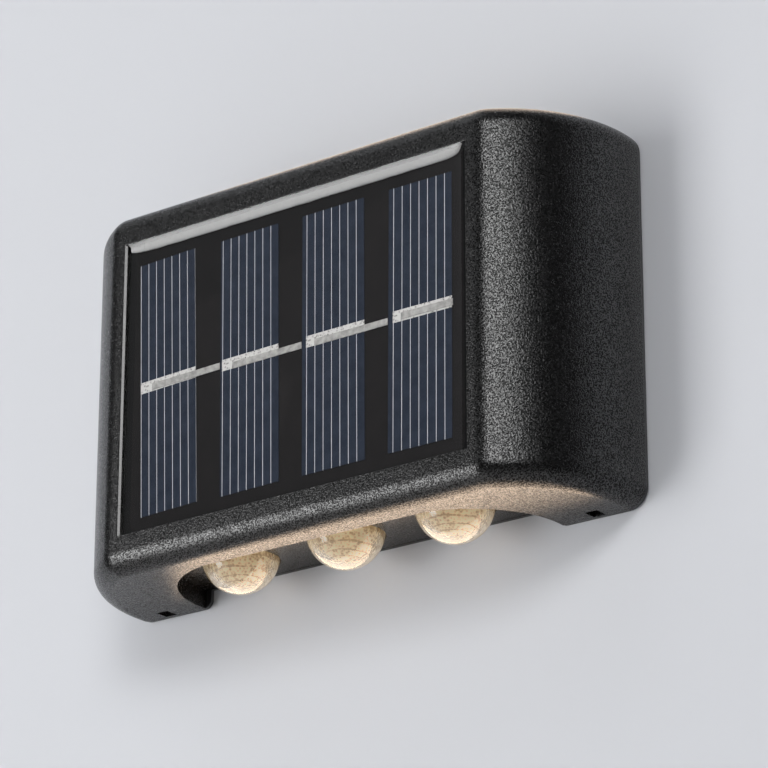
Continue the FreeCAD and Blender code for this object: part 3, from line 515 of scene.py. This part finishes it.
def roundPanelEdge(bm):
    # the panel recess's front edge is softly rounded, and smooth where the grain ends
    size = housing
    wide, high, front = size["panelWidth"] / 2, size["panelHeight"] / 2, -size["depth"]
    outer, reach = wide + size["chamfer"][0], size["panelReach"]

    def atFront(place):
        return abs(place.y - front) < reach and abs(place.x) < outer + reach and abs(place.z) < high + reach

    edges = [edge for edge in bm.edges if all(atFront(vert.co / mm) for vert in edge.verts)]
    made = roundEdges(bm, edges, size["panelEdge"] * mm, size["panelSegments"])
    for face in bm.faces:
        centre = face.calc_center_median() / mm
        onChamfer = (-outer - reach < centre.x < -wide - size["chamferMargin"]
                     and centre.y < front + size["chamfer"][1] + reach
                     and abs(face.normal.x) > size["chamferTilt"] and abs(centre.z) < size["panelHigh"])
        face.material_index = int(face in made["faces"] or onChamfer)


def makeHousing():
    shell = outerBlock()
    combine(shell, [hollowBlock(), *recessCutters(), panelRecess(), *windowCutters()], "DIFFERENCE")
    bosses, pilots = bossBlocks()
    combine(shell, bosses, "UNION")
    combine(shell, pilots, "DIFFERENCE")
    bm = bmesh.new()
    takeBack(bm, shell.data)
    bmesh.ops.remove_doubles(bm, verts=bm.verts, dist=mergeReach * mm)
    roundPanelEdge(bm)
    look = housingFinish
    smoothEdge = plainFinish("smooth black edge", look["colour"], look["edgeRoughness"],
                             grain=look["edgeGrain"], grainDepth=look["edgeDepth"])
    piece = toPiece(bm, "front_housing_moulding", "front_housing",
                    [sandedPlastic(), smoothEdge], housing["sharpAngle"])
    even = piece.modifiers.new("even normals", "WEIGHTED_NORMAL")
    even.keep_sharp = True
    even.weight = housing["normalWeight"]


print("housing")
makeHousing()


# Lenses: hollow domes, spun from their profile

lens = {
    "radius": 7.5, "wall": 1.4, "flange": 8.7, "flangeThickness": 1.2, "rise": 1.05, "seat": 2.0,
    "steps": 96, "arcSteps": 28, "sharpAngle": 40,
    "hollowMargin": 0.2,   # a face this near the hollow's radius is one of the hollow's
}
lensFinish = {"tint": (0.98, 0.97, 0.95), "roughness": 0.01, "smear": 0.01, "ior": 1.49,
              "grainScale": 500.0, "grainDepth": 0.003}
crackleLook = {
    # specks and mottles, their shares in the tone, and the tone's stops in the colour and in the glow
    "specks": 2000.0, "speckShare": 0.5, "mottles": 700.0, "mottleShare": 0.8, "depth": 0.08,
    # the gold tint and the glow are painted: they stand in for the chips' warm light in the hollow
    "dark": (0.34, 0.24, 0.14), "light": (0.88, 0.78, 0.60), "stops": (0.44, 0.72),
    "glow": 0.20, "paintedGlowDark": (0.45, 0.28, 0.12), "paintedGlowLight": (1.0, 0.80, 0.50), "paintedGlowStops": (0.46, 0.72),
    # rings moulded into the hollow: spacing, width and start from the dome's axis, waviness, and their tone
    "ringPitch": 1.05, "ringWidth": 0.16, "ringStart": 2.6, "wave": 260.0, "waveReach": 0.5, "ringTone": -0.22,
    "clear": 0.9, "ior": 1.49, "roughness": 0.3,
}


def crackledClearWithPaintedGlow():
    # the lens's rough hollow scatters the chip's warm light; a painted gold tint and painted glow, in uneven
    # specks, add to it
    look = crackleLook
    material, tree, shader = newMaterial("crackled lens hollow with painted glow")
    calculate = nodeMaths(tree)
    where = coordinates(tree)
    tone = calculate("MULTIPLY_ADD", noise(tree, where, look["mottles"], 3), look["mottleShare"],
                     calculate("MULTIPLY", speckles(tree, where, look["specks"]), look["speckShare"]))
    fromAxis = separate(tree, coordinates(tree, "UV"))["X"]
    reach = calculate("MULTIPLY_ADD", noise(tree, where, look["wave"], 1), look["waveReach"], fromAxis)
    ring = calculate("LESS_THAN", calculate("PINGPONG", reach, look["ringPitch"] / 2), look["ringWidth"] / 2)
    ring = calculate("MULTIPLY", ring, calculate("GREATER_THAN", reach, look["ringStart"]))
    tone = calculate("MULTIPLY_ADD", ring, look["ringTone"], tone)
    feed(tree, shader, {
        # a painted gold tint and painted glow, standing in for the chips' warm light
        "Base Color": ramp(tree, tone, look["stops"], look["dark"], look["light"]),
        "Emission Color": ramp(tree, tone, look["paintedGlowStops"], look["paintedGlowDark"], look["paintedGlowLight"]),
        "Emission Strength": look["glow"], "Transmission Weight": look["clear"], "IOR": look["ior"],
        "Roughness": look["roughness"], "Normal": bump(tree, tone, 1.0, look["depth"])})
    return material


def makeLens(way, number, node, materials):
    size = lens
    dome = housing["height"] / 2 - housing["recessDepth"] - size["rise"]
    seat = size["rise"] - size["seat"]
    inner = size["radius"] - size["wall"]
    bm = bmesh.new()
    last = bm.verts.new((0, 0, size["radius"]))
    last = spinArc(bm, last, (0, 0, 0), 90, size["arcSteps"], (0, 1, 0))
    for radius, level in ((size["radius"], seat), (size["flange"], seat),
                          (size["flange"], seat - size["flangeThickness"]),
                          (inner, seat - size["flangeThickness"]), (inner, 0)):
        last = lineTo(bm, last, (radius, 0, level))
    spinArc(bm, last, (0, 0, 0), -90, size["arcSteps"], (0, 1, 0))
    turnProfile(bm, size["steps"])
    place = Vector((number * housing["lensPitch"], -housing["lensReach"], way * dome))
    bmesh.ops.scale(bm, verts=bm.verts, vec=(1, 1, way))
    bmesh.ops.translate(bm, verts=bm.verts, vec=place)
    toMetres(bm)

    def away(point):
        return (point - place * mm) / mm

    for face in bm.faces:
        face.material_index = int(away(face.calc_center_median()).length < inner + size["hollowMargin"])
    mapMillimetres(bm, lambda point: (away(point).xy.length, abs(away(point).z)))
    toPiece(bm, node + "_dome", node, materials, size["sharpAngle"])


print("lenses")
lensMaterials = [clearFinish("clear lens", lensFinish), crackledClearWithPaintedGlow()]
for way, side in ((1, "top"), (-1, "bottom")):
    for number, name in ((-1, "left"), (0, "middle"), (1, "right")):
        makeLens(way, number, "lens_%s_%s" % (side, name), lensMaterials)


# Solar panel: four cells, the ribbons between them, the board and the cast resin

cellCuts = {
    # from left to right: width, sideways shift, first finger from the left edge, turn, and the ribbon's height
    "cells": ({"width": 13.55, "shift": -0.32, "firstFinger": 0.12, "turn": 1.83, "ribbon": -0.05},
              {"width": 13.9, "shift": -0.3, "firstFinger": 0.55, "turn": 0.9, "ribbon": -0.3},
              {"width": 14.4, "shift": -0.3, "firstFinger": 1.07, "turn": 0.45, "ribbon": -0.3},
              {"width": 14.3, "shift": -0.2, "firstFinger": 1.15, "turn": -0.2, "ribbon": 0.1}),
    "height": 51.7, "lift": -0.02, "edge": 0.04, "edgeSegments": 2,
}
cellFinish = {
    # on the cell's UV map: across from its left edge, and up from its middle
    "fingerPitch": 1.925, "fingerWidth": 0.15, "finger": (0.50, 0.51, 0.54),
    "silicon": (0.009, 0.014, 0.027), "siliconLight": (0.022, 0.030, 0.049), "siliconStops": (0.35, 0.75),
    "cloud": 0.35, "cloudDetail": 3, "cloudRoughness": 0.6, "cloudShare": 0.75, "fine": 5.0, "fineShare": 0.35,
    "pasteHeight": 2.3, "pasteLevel": 0.25, "pasteStart": -0.15,
    "pasteDark": (0.03, 0.028, 0.026), "paste": (0.34, 0.33, 0.32), "pasteLight": (0.60, 0.59, 0.57),
    "pasteStops": (0.42, 0.56, 0.95), "holes": 1.9, "frays": 3.6, "frayShare": 0.75,
    "roughness": 0.5, "specular": 0.06,
}


def cellMaterial(number, firstFinger):
    # slate-blue silicon with printed fingers and a band of speckled paste across the middle
    look = cellFinish
    material, tree, shader = newMaterial("cell %d silicon" % number)
    calculate = nodeMaths(tree)
    flat = coordinates(tree, "UV")
    apart = separate(tree, flat)
    across, up = apart["X"], apart["Y"]

    offset = calculate("PINGPONG", calculate("SUBTRACT", across, firstFinger), look["fingerPitch"] / 2)
    isFinger = calculate("LESS_THAN", offset, look["fingerWidth"] / 2)
    rise = calculate("ABSOLUTE", calculate("SUBTRACT", up, look["pasteLevel"]))
    inBand = calculate("LESS_THAN", rise, look["pasteHeight"] / 2)
    isPaste = calculate("MULTIPLY", inBand, calculate("GREATER_THAN", across, firstFinger + look["pasteStart"]))

    cloud = noise(tree, flat, look["cloud"], look["cloudDetail"], look["cloudRoughness"])
    tone = calculate("MULTIPLY_ADD", noise(tree, flat, look["fine"]), look["fineShare"],
                     calculate("MULTIPLY", cloud, look["cloudShare"]))
    silicon = ramp(tree, tone, look["siliconStops"], look["silicon"], look["siliconLight"])
    speckle = calculate("MULTIPLY_ADD", noise(tree, flat, look["frays"]), look["frayShare"],
                        speckles(tree, flat, look["holes"]))
    paste = ramp(tree, speckle, look["pasteStops"], look["pasteDark"], look["paste"], look["pasteLight"])
    withFingers = mixColour(tree, isFinger, silicon, look["finger"])
    feed(tree, shader, {"Base Color": mixColour(tree, isPaste, withFingers, paste),
                        "Roughness": look["roughness"], "Specular IOR Level": look["specular"]})
    return material


def cellCentre(number):
    low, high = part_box("solar_cell_%d" % number)
    return (low + high) / 2 / mm + Vector((cellCuts["cells"][number - 1]["shift"], 0, cellCuts["lift"]))


def makeCell(number):
    cell = cellCuts["cells"][number - 1]
    width = cell["width"]
    low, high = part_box("solar_cell_%d" % number)
    bm = centredBlock((width, (high.y - low.y) / mm, cellCuts["height"]))
    roundEdges(bm, bm.edges[:], cellCuts["edge"], cellCuts["edgeSegments"])
    mapMillimetres(bm, lambda point: (point.x + width / 2, point.z))
    bmesh.ops.rotate(bm, verts=bm.verts, matrix=Matrix.Rotation(math.radians(-cell["turn"]), 3, "Y"))
    bmesh.ops.translate(bm, verts=bm.verts, vec=cellCentre(number))
    toMetres(bm)
    toPiece(bm, "cell_%d" % number, "solar_cell_%d" % number,
            [cellMaterial(number, cell["firstFinger"])])


ribbon = {
    # start from the cell's left edge, height, gap before the next cell, and how far the last one runs on
    "start": 2.9, "height": 1.35, "gap": 0.1, "runOn": 0.3,
    # the raised rim of solder: width, depth of the middle, and turn as a share of the cell's
    "rim": 0.16, "sunk": 0.03, "turnShare": 0.7,
    "metallic": 0.15, "lumps": 900.0, "lumpDepth": 0.03, "lumpBump": 0.8,
    "dark": (0.24, 0.235, 0.225), "light": (0.45, 0.44, 0.42), "smooth": 0.45, "rough": 0.65,
}


def ribbonMaterial():
    # tinned copper: bright, with a lumpy solder skin
    look = ribbon
    material, tree, shader = newMaterial("tinned ribbon")
    lumps = noise(tree, coordinates(tree), look["lumps"], 3)
    stops = unevenness["stops"]
    feed(tree, shader, {
        "Metallic": look["metallic"],
        "Base Color": ramp(tree, lumps, stops, look["dark"], look["light"]),
        "Roughness": ramp(tree, lumps, stops, grey(look["smooth"]), grey(look["rough"])),
        "Normal": bump(tree, lumps, look["lumpBump"], look["lumpDepth"])})
    return material


def makeRibbons():
    # each ribbon runs from the paste on its cell to the next cell's edge
    size, cells = ribbon, cellCuts["cells"]
    low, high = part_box("cell_ribbons")
    half = size["height"] / 2
    bm = bmesh.new()
    for number, cell in enumerate(cells, start=1):
        centre = cellCentre(number)
        left = centre.x - cell["width"] / 2 + size["start"]
        if number < len(cells):
            right = cellCentre(number + 1).x - cells[number]["width"] / 2 - size["gap"]
        else:
            right = centre.x + cell["width"] / 2 + size["runOn"]
        level = centre.z + cell["ribbon"]
        strip = boxBlock((left, low.y / mm, level - half), (right, high.y / mm, level + half))
        front = min(strip.faces, key=lambda face: face.calc_center_median().y)
        bmesh.ops.inset_region(strip, faces=[front], thickness=size["rim"], depth=-size["sunk"])
        turn = Matrix.Rotation(math.radians(-cell["turn"] * size["turnShare"]), 3, "Y")
        bmesh.ops.rotate(strip, verts=strip.verts, cent=centre, matrix=turn)
        addPart(bm, strip)
    toMetres(bm)
    toPiece(bm, "ribbons_tinned", "cell_ribbons", [ribbonMaterial()])


board = {
    "left": -38.6, "right": 39.65, "bottom": -29.65, "top": 29.75, "corner": 2.2, "cornerSegments": 8,
    "edge": 0.08, "edgeSegments": 2, "sharpAngle": 35, "colour": (0.0115, 0.0100, 0.0100),
}


def makePanelBoard():
    # the board has rounded corners, and leaves a dark gap beside it that the resin fills
    size = board
    low, high = (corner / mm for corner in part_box("solar_panel_board"))
    bm = boxBlock((size["left"], low.y, size["bottom"]), (size["right"], high.y, size["top"]))

    def isLevel(edge):
        return abs(edge.verts[0].co.y - edge.verts[1].co.y) < slack

    roundEdges(bm, [edge for edge in bm.edges if not isLevel(edge)], size["corner"], size["cornerSegments"])
    roundEdges(bm, [edge for edge in bm.edges if isLevel(edge)], size["edge"], size["edgeSegments"])
    toMetres(bm)
    toPiece(bm, "panel_board_black", "solar_panel_board",
            [bondedFinish("black-brown board", size["colour"])], size["sharpAngle"])


resin = {
    "wide": 40.26, "middle": 0.05, "high": 29.76, "flat": 27.88, "edge": 28.70, "back": 27.28,
    # how far from the recess's top wall the resin creeps up, and where that fades at the left and the right
    "creep": 2.5, "creepPower": 1.6, "leftShare": 0.4, "leftFade": 2.5, "rightFade": 1.9,
    # the surface's steps: finer towards the walls, and even in the middle
    "rim": 7.0, "rimSteps": 24, "rimPower": 1.7, "flatSteps": 8, "sharpAngle": 40,
}
resinFinish = {"tint": (0.97, 0.975, 0.98), "roughness": 0.015, "smear": 0.015, "ior": 1.5,
               "grainScale": 40.0, "grainDepth": 0.003}


def makeResin():
    # cast resin fills the recess and creeps up its top wall
    size = resin
    steps, flat, rim = size["rimSteps"], size["flatSteps"], size["rim"]
    count = 2 * steps + flat
    bm = bmesh.new()
    bmesh.ops.create_grid(bm, x_segments=count, y_segments=count, size=1)

    def graded(share, half):
        # steps that grow with the distance from the wall, and wide even ones in the middle
        step = (share + 1) / 2 * count
        away = min(step, count - step)
        if away <= steps:
            place = rim * (away / steps) ** size["rimPower"] - half
        else:
            place = rim - half + (half - rim) * (away - steps) / (flat / 2)
        return place if step <= count / 2 else -place

    for vert in bm.verts:
        x, z = graded(vert.co.x, size["wide"]), graded(vert.co.y, size["high"])
        reach = size["creep"] * (1 - size["leftShare"] * math.exp(-(size["wide"] + x) / size["leftFade"]))
        top = max(0.0, 1 - (size["high"] - z) / reach) ** size["creepPower"]
        calm = (1 - math.exp(-(size["wide"] - x) / size["rightFade"])) * (1 - top)
        vert.co = (x, (size["edge"] - size["flat"]) * calm - size["edge"], z + size["middle"])
    made = bmesh.ops.extrude_edge_only(bm, edges=[edge for edge in bm.edges if edge.is_boundary])
    for item in made["geom"]:
        if isinstance(item, bmesh.types.BMVert):
            item.co.y = -size["back"]
        elif isinstance(item, bmesh.types.BMFace):
            item.material_index = 1
    bmesh.ops.holes_fill(bm, edges=[edge for edge in bm.edges if edge.is_boundary], sides=0)
    toMetres(bm)
    materials = [clearFinish("cast resin", resinFinish),
                 bondedFinish("resin against the black wall", housingFinish["colour"])]
    toPiece(bm, "panel_resin_cast", "panel_resin", materials, size["sharpAngle"])


print("solar panel")
for number in range(1, len(cellCuts["cells"]) + 1):
    makeCell(number)
makeRibbons()
makePanelBoard()
makeResin()


# Back of the light: the plate's countersunk screws, the push button and its rubber dome

plateScrew = {
    "head": 2.7, "rim": 0.05, "shaft": 1.4, "sink": 0.1, "length": 11.0, "steps": 32, "sharpAngle": 30,
    # thread: depth, pitch, start below the head, end above the point, and where the last ring may start
    "threadDepth": 0.22, "threadPitch": 0.9, "threadStart": 0.4, "threadEnd": 0.8, "threadless": 2.5,
    "crossWidth": 0.7, "crossLength": 2.9, "crossDepth": 0.9,
    # each screw's cross is turned by its own place, in degrees per millimetre
    "turnAcross": 17, "turnUp": 5,
}


def screwProfile():
    # the head towards the wall, and the thread as rings along the shaft
    size = plateScrew
    root, neck = size["shaft"] - size["threadDepth"], size["head"] - size["shaft"]
    outline = [(size["head"] - size["rim"], 0), (size["head"], size["rim"]), (size["shaft"], neck)]
    for turn in range(int((size["length"] - size["threadless"]) / size["threadPitch"])):
        start = neck + size["threadStart"] + turn * size["threadPitch"]
        outline += [(root, start), (size["shaft"], start + size["threadPitch"] / 2)]
    outline += [(root, size["length"] - size["threadEnd"]), (0, size["length"])]
    bm = bmesh.new()
    last = bm.verts.new((0, 0, 0))
    for radius, level in outline:
        last = lineTo(bm, last, (radius, 0, level))
    return bm


def makePlateScrews():
    size = plateScrew
    bm = bmesh.new()
    for x, z in housing["bosses"][0]["places"]:
        turned = screwProfile()
        turnProfile(turned, size["steps"])
        bmesh.ops.remove_doubles(turned, verts=turned.verts, dist=mergeReach)
        bmesh.ops.recalc_face_normals(turned, faces=turned.faces)
        screw = temporary(turned, "screw")
        long, thin, deep = size["crossLength"], size["crossWidth"], 2 * size["crossDepth"]
        bars = ((long, thin, deep), (thin, long, deep))
        combine(screw, [temporary(centredBlock(bar), "cross bar") for bar in bars], "DIFFERENCE")
        part = bmesh.new()
        takeBack(part, screw.data)
        own = math.radians(size["turnAcross"] * x + size["turnUp"] * z)
        bmesh.ops.transform(part, matrix=Matrix.Rotation(math.pi / 2, 4, "X") @ Matrix.Rotation(own, 4, "Z"),
                            verts=part.verts)
        bmesh.ops.translate(part, verts=part.verts, vec=(x * mm, -size["sink"] * mm, z * mm))
        addPart(bm, part)
    toPiece(bm, "plate_screws_cross", "plate_screws", [smallSteel], size["sharpAngle"])


button = {
    "radius": 3.0, "collar": 3.8, "length": 8.0, "recess": 0.3, "edge": 0.6, "dish": 0.25, "shoulder": 3.5,
    "travel": 1.5, "dishSteps": 4, "edgeSteps": 8, "steps": 64, "sharpAngle": 35,
}


def makeButton():
    # the cap has a rounded rim and a shallow dish for the fingertip
    size = button
    low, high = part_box("switch_button")
    radius, edge, recess = size["radius"], size["edge"], size["recess"]
    bm = bmesh.new()
    last = bm.verts.new((0, 0, recess + size["dish"]))
    for step in range(1, size["dishSteps"] + 1):
        share = step / size["dishSteps"]
        bowl = math.sin(share * math.pi / 2) ** 2
        last = lineTo(bm, last, (share * (radius - edge), 0, recess + size["dish"] * (1 - bowl)))
    last = spinArc(bm, last, (radius - edge, 0, recess + edge), 90, size["edgeSteps"], (0, 1, 0))
    end = recess + size["length"]
    for across, level in ((radius, size["shoulder"]), (size["collar"], size["shoulder"]),
                          (size["collar"], end), (0, end)):
        last = lineTo(bm, last, (across, 0, level))
    turnProfile(bm, size["steps"])
    bmesh.ops.rotate(bm, verts=bm.verts, matrix=Matrix.Rotation(math.pi / 2, 3, "X"))
    bmesh.ops.translate(bm, verts=bm.verts, vec=(0, 0, (low.z + high.z) / 2 / mm))
    toMetres(bm)
    plastic = plainFinish("button plastic", (0.35, 0.36, 0.37), 0.42, grain=450)
    toPiece(bm, "switch_button_cap", "switch_button", [plastic], size["sharpAngle"], "button")


def makeSwitchDome():
    # the rubber dome under the button, on a mesh of its own; the real one flattens as the button is pressed
    bm = bmesh.new()
    bm.from_mesh(nodes["switch_dome"].data)
    rubber = plainFinish("silicone dome", (0.62, 0.62, 0.60), 0.5)
    piece = toPiece(bm, "switch_dome_rubber", "switch_dome", [rubber], button["sharpAngle"])
    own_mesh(piece)


print("screws and button")
smallSteel = plainFinish("plated steel", (0.55, 0.55, 0.56), 0.35, 1, 600, 0.01)
makePlateScrews()
makeButton()
makeSwitchDome()


# Finishes of the carried-over nodes

chipFinish = {"glow": 2.6, "grain": 1500.0, "warm": (0.95, 0.66, 0.30), "pale": (1.0, 0.80, 0.48),
              "roughness": 0.4}


def glowingChip():
    # warm white phosphor, lit
    look = chipFinish
    material, tree, shader = newMaterial("lit phosphor")
    grain = noise(tree, coordinates(tree), look["grain"])
    tone = ramp(tree, grain, unevenness["stops"], look["warm"], look["pale"])
    feed(tree, shader, {"Base Color": tone, "Emission Color": tone, "Emission Strength": look["glow"],
                        "Roughness": look["roughness"]})
    return material


boardFinish = {
    # the glow is painted: it stands in for the chips' light on the board
    "glow": 0.35, "paintedGlowColour": (1.0, 0.83, 0.60), "reach": 6.5, "farShare": 0.25,
    "cloud": 90.0, "dark": (0.78, 0.76, 0.70), "light": (0.86, 0.84, 0.78), "roughness": 0.4,
}


def boardWithPaintedGlow():
    # white solder mask with a painted glow: emission that stands in for the chips' light, falling off round
    # each chip
    look = boardFinish
    material, tree, shader = newMaterial("white solder mask")
    calculate = nodeMaths(tree)
    where = coordinates(tree)
    apart = separate(tree, where)
    pitch = housing["lensPitch"] * mm
    aside = calculate("ABSOLUTE", calculate("WRAP", apart["X"], pitch / 2, -pitch / 2))
    deep = calculate("ADD", apart["Y"], housing["lensReach"] * mm)
    away = calculate("SQRT", calculate("ADD", calculate("POWER", aside, 2.0), calculate("POWER", deep, 2.0)))
    # painted glow, brightest at each chip
    paintedGlowFalloff = addNode(tree, "ShaderNodeMapRange", {
        "Value": away, "From Min": 0, "From Max": look["reach"] * mm, "To Min": 1, "To Max": look["farShare"]},
        interpolation_type="SMOOTHSTEP")
    cloud = noise(tree, where, look["cloud"], 3)
    feed(tree, shader, {
        "Base Color": ramp(tree, cloud, unevenness["stops"], look["dark"], look["light"]),
        "Emission Color": mixColour(tree, paintedGlowFalloff.outputs["Result"], grey(0), look["paintedGlowColour"]),
        "Emission Strength": look["glow"], "Roughness": look["roughness"]})
    return material


finishes = {
    # material's name, colour and roughness, and where they aren't the usual ones, metal, grain and its depth
    "back_plate": ("satin black plastic", (0.016, 0.016, 0.017), 0.36, 0, 500, 0.04),
    "plate_seal": ("seal rubber", grey(0.05), 0.75),
    "panel_glue": ("panel glue", grey(0.04), 0.6),
    "main_circuit_board": ("green solder mask", (0.015, 0.10, 0.045), 0.35, 0, 250, 0.01),
    "control_chip": ("chip plastic", grey(0.02), 0.55),
    "choke_coil": ("ferrite", (0.06, 0.06, 0.065), 0.7),
    "capacitor": ("capacitor sleeve", (0.03, 0.04, 0.09), 0.35),
    "switch_body": ("switch plastic", (0.03, 0.03, 0.032), 0.45),
    "switch_seal": ("switch seal rubber", grey(0.05), 0.75),
    "battery_cell": ("shrink sleeve", (0.03, 0.12, 0.28), 0.3, 0, 200, 0.02),
    "battery_holder": ("holder plastic", grey(0.03), 0.5),
    "holder_tape": ("foam tape", (0.7, 0.7, 0.68), 0.9, 0, 700, 0.08),
    "panel_wires": ("red insulation", (0.35, 0.02, 0.015), 0.45),
    "light_wires_top": ("white insulation", (0.6, 0.6, 0.58), 0.45),
    "light_wires_bottom": ("white insulation lower", (0.6, 0.6, 0.58), 0.45),
    "battery_wires": ("black insulation", grey(0.02), 0.45),
}


def dress(material, *names):
    for name in names:
        mesh = nodes[name].data
        mesh.materials.clear()
        mesh.materials.append(material)


print("finishes")
for name, finish in finishes.items():
    dress(plainFinish(*finish), name)
dress(boardWithPaintedGlow(), "light_board_top", "light_board_bottom")
dress(glowingChip(), "light_chips_top", "light_chips_bottom")
dress(smallSteel, "light_board_screws", "main_board_screws")
dress(plainFinish("nickel plate", (0.66, 0.65, 0.62), 0.28, 1, 500, 0.01), "battery_contact", "battery_spring")


# Stage: a pale wall behind the light, seen from the room only, and a pale floor far below

stageLook = {
    "wall": (0.60, 0.61, 0.64), "wallSize": 3.0, "wallPlace": (0, 0.0004, 0),
    "floor": (0.80, 0.80, 0.80), "floorSize": 8.0, "floorPlace": (0, 0, -0.9), "floorGlow": 0.5,
    "roughness": 0.9,
}


def wallMaterial():
    # from behind, and for shadows, the wall isn't there
    material, tree, shader = newMaterial("pale wall")
    feed(tree, shader, {"Roughness": stageLook["roughness"], "Base Color": stageLook["wall"]})
    behind = addNode(tree, "ShaderNodeNewGeometry").outputs["Backfacing"]
    shadow = addNode(tree, "ShaderNodeLightPath").outputs["Is Shadow Ray"]
    letThrough(tree, shader, nodeMaths(tree)("MAXIMUM", behind, shadow), grey(1))
    return material


def floorMaterial():
    # pale to the eye from behind too, without more light on the object
    material, tree, shader = newMaterial("pale floor")
    seen = addNode(tree, "ShaderNodeLightPath").outputs["Is Camera Ray"]
    feed(tree, shader, {
        "Roughness": stageLook["roughness"], "Base Color": stageLook["floor"], "Emission Color": grey(1),
        "Emission Strength": nodeMaths(tree)("MULTIPLY", seen, stageLook["floorGlow"])})
    return material


def stagePlane(name, rotation, material):
    bm = bmesh.new()
    bmesh.ops.create_grid(bm, x_segments=1, y_segments=1, size=stageLook[name + "Size"] / 2)
    bmesh.ops.rotate(bm, verts=bm.verts, matrix=Matrix.Rotation(rotation, 3, "X"))
    bmesh.ops.translate(bm, verts=bm.verts, vec=stageLook[name + "Place"])
    plane = asObject(bm, name)
    plane.data.materials.append(material)


print("stage, lights and camera")
stagePlane("wall", math.pi / 2, wallMaterial())
stagePlane("floor", 0, floorMaterial())


# Light: large soft panels and an even pale world

lamps = {
    # levels: places from the panel's lower edge to its upper edge, each with its brightness
    "sky": {"azimuth": -37, "elevation": 46, "distance": 1.5, "size": (1.3, 2.0), "colour": (0.95, 0.97, 1.0),
            "levels": ((0, 0.10), (0.25, 0.25), (0.45, 0.9), (1, 0.9))},
    "right front": {"azimuth": 29, "elevation": 21, "distance": 1.4, "size": (0.64, 0.42), "colour": grey(1),
                    "levels": ((0, 9.5), (1, 9.5))},
    "left low": {"azimuth": -38, "elevation": -15.5, "distance": 1.5, "size": (0.52, 1.62), "colour": grey(1),
                 "levels": ((0, 3.0), (0.3, 6.0), (0.6, 10.5), (0.75, 9.5), (1, 3.2))},
}
wallGlow = {"size": (0.10, 0.13), "away": 0.108, "forward": -0.0005, "below": 4.5, "above": 1.6,
            "colour": (1.0, 0.74, 0.52)}
rearLamp = {"place": (0.2, 1.2, 0.9), "size": (1.1, 1.1), "level": 5.0}


def softLight(name, place, aim, size, colour, levels):
    # a panel whose brightness runs from its lower edge to its upper edge
    lamp = bpy.data.lights.new(name, "AREA")
    lamp.shape = "RECTANGLE"
    lamp.size, lamp.size_y = size
    lamp.energy = math.pi * size[0] * size[1]
    lamp.color = colour
    lamp.use_nodes = True
    tree = lamp.node_tree
    up = separate(tree, addNode(tree, "ShaderNodeNewGeometry").outputs["Parametric"])["Y"]
    most = max(level for stop, level in levels)
    shade = ramp(tree, up, [stop for stop, level in levels], *(grey(level / most) for stop, level in levels))
    feed(tree, tree.nodes["Emission"], {"Strength": nodeMaths(tree)("MULTIPLY", shade, most)})
    holder = bpy.data.objects.new(name, lamp)
    bpy.context.collection.objects.link(holder)
    holder.location = place
    holder.rotation_euler = Vector(aim).to_track_quat("-Z", "Y").to_euler()
    holder.visible_camera = False
    holder.visible_transmission = False


for name, lamp in lamps.items():
    aside, up = math.radians(lamp["azimuth"]), math.radians(lamp["elevation"])
    direction = Vector((math.sin(aside) * math.cos(up), -math.cos(aside) * math.cos(up), math.sin(up)))
    place = lamp["distance"] * direction
    softLight(name, place, -place, lamp["size"], lamp["colour"], lamp["levels"])
# the light's own beams, thrown back by the wall below and above it
for name, way in (("below", -1), ("above", 1)):
    softLight("glow " + name, (0, wallGlow["forward"], way * wallGlow["away"]), (0, -1, 0), wallGlow["size"],
              wallGlow["colour"], ((0, wallGlow[name]), (1, wallGlow[name])))
# for the views from behind, where the wall lets light through
softLight("behind", rearLamp["place"], -Vector(rearLamp["place"]), rearLamp["size"], grey(1),
          ((0, rearLamp["level"]), (1, rearLamp["level"])))

worldLook = {"ambient": (0.9, 0.93, 1.0), "ambientStrength": 0.06, "backdrop": (0.86, 0.87, 0.88)}


def makeWorld():
    # a faint even light, and a pale backdrop for what the eye sees past the stage or through the lenses
    world = bpy.data.worlds.new("studio")
    bpy.context.scene.world = world
    world.use_nodes = True
    tree = world.node_tree
    ambient = tree.nodes["Background"]
    feed(tree, ambient, {"Color": worldLook["ambient"], "Strength": worldLook["ambientStrength"]})
    backdrop = addNode(tree, "ShaderNodeBackground", {"Color": worldLook["backdrop"], "Strength": 1.0})
    rays = addNode(tree, "ShaderNodeLightPath").outputs
    seen = nodeMaths(tree)("MAXIMUM", rays["Is Camera Ray"], rays["Is Transmission Ray"])
    mix = addNode(tree, "ShaderNodeMixShader", {
        "Fac": seen, 1: ambient.outputs["Background"], 2: backdrop.outputs["Background"]})
    feed(tree, tree.nodes["World Output"], {"Surface": mix.outputs["Shader"]})


makeWorld()


# Camera, at the photograph's viewing angle

cameraLook = {"eye": (0.3951, -0.5272, -0.2536), "target": (0.01554, -0.020, -0.00924), "roll": 0.08,
              "lens": 173.25, "sensor": 36.0, "nearest": 0.01}


def makeCamera():
    data = bpy.data.cameras.new("camera")
    data.sensor_fit = "HORIZONTAL"
    data.sensor_width = cameraLook["sensor"]
    data.lens = cameraLook["lens"]
    data.clip_start = cameraLook["nearest"]
    camera = bpy.data.objects.new("camera", data)
    bpy.context.collection.objects.link(camera)
    eye, target = Vector(cameraLook["eye"]), Vector(cameraLook["target"])
    aim = (target - eye).to_track_quat("-Z", "Y").to_matrix()
    roll = Matrix.Rotation(math.radians(cameraLook["roll"]), 3, "Z")
    camera.matrix_world = Matrix.Translation(eye) @ (aim @ roll).to_4x4()
    bpy.context.scene.camera = camera


makeCamera()
bpy.context.scene.view_settings.view_transform = "Standard"
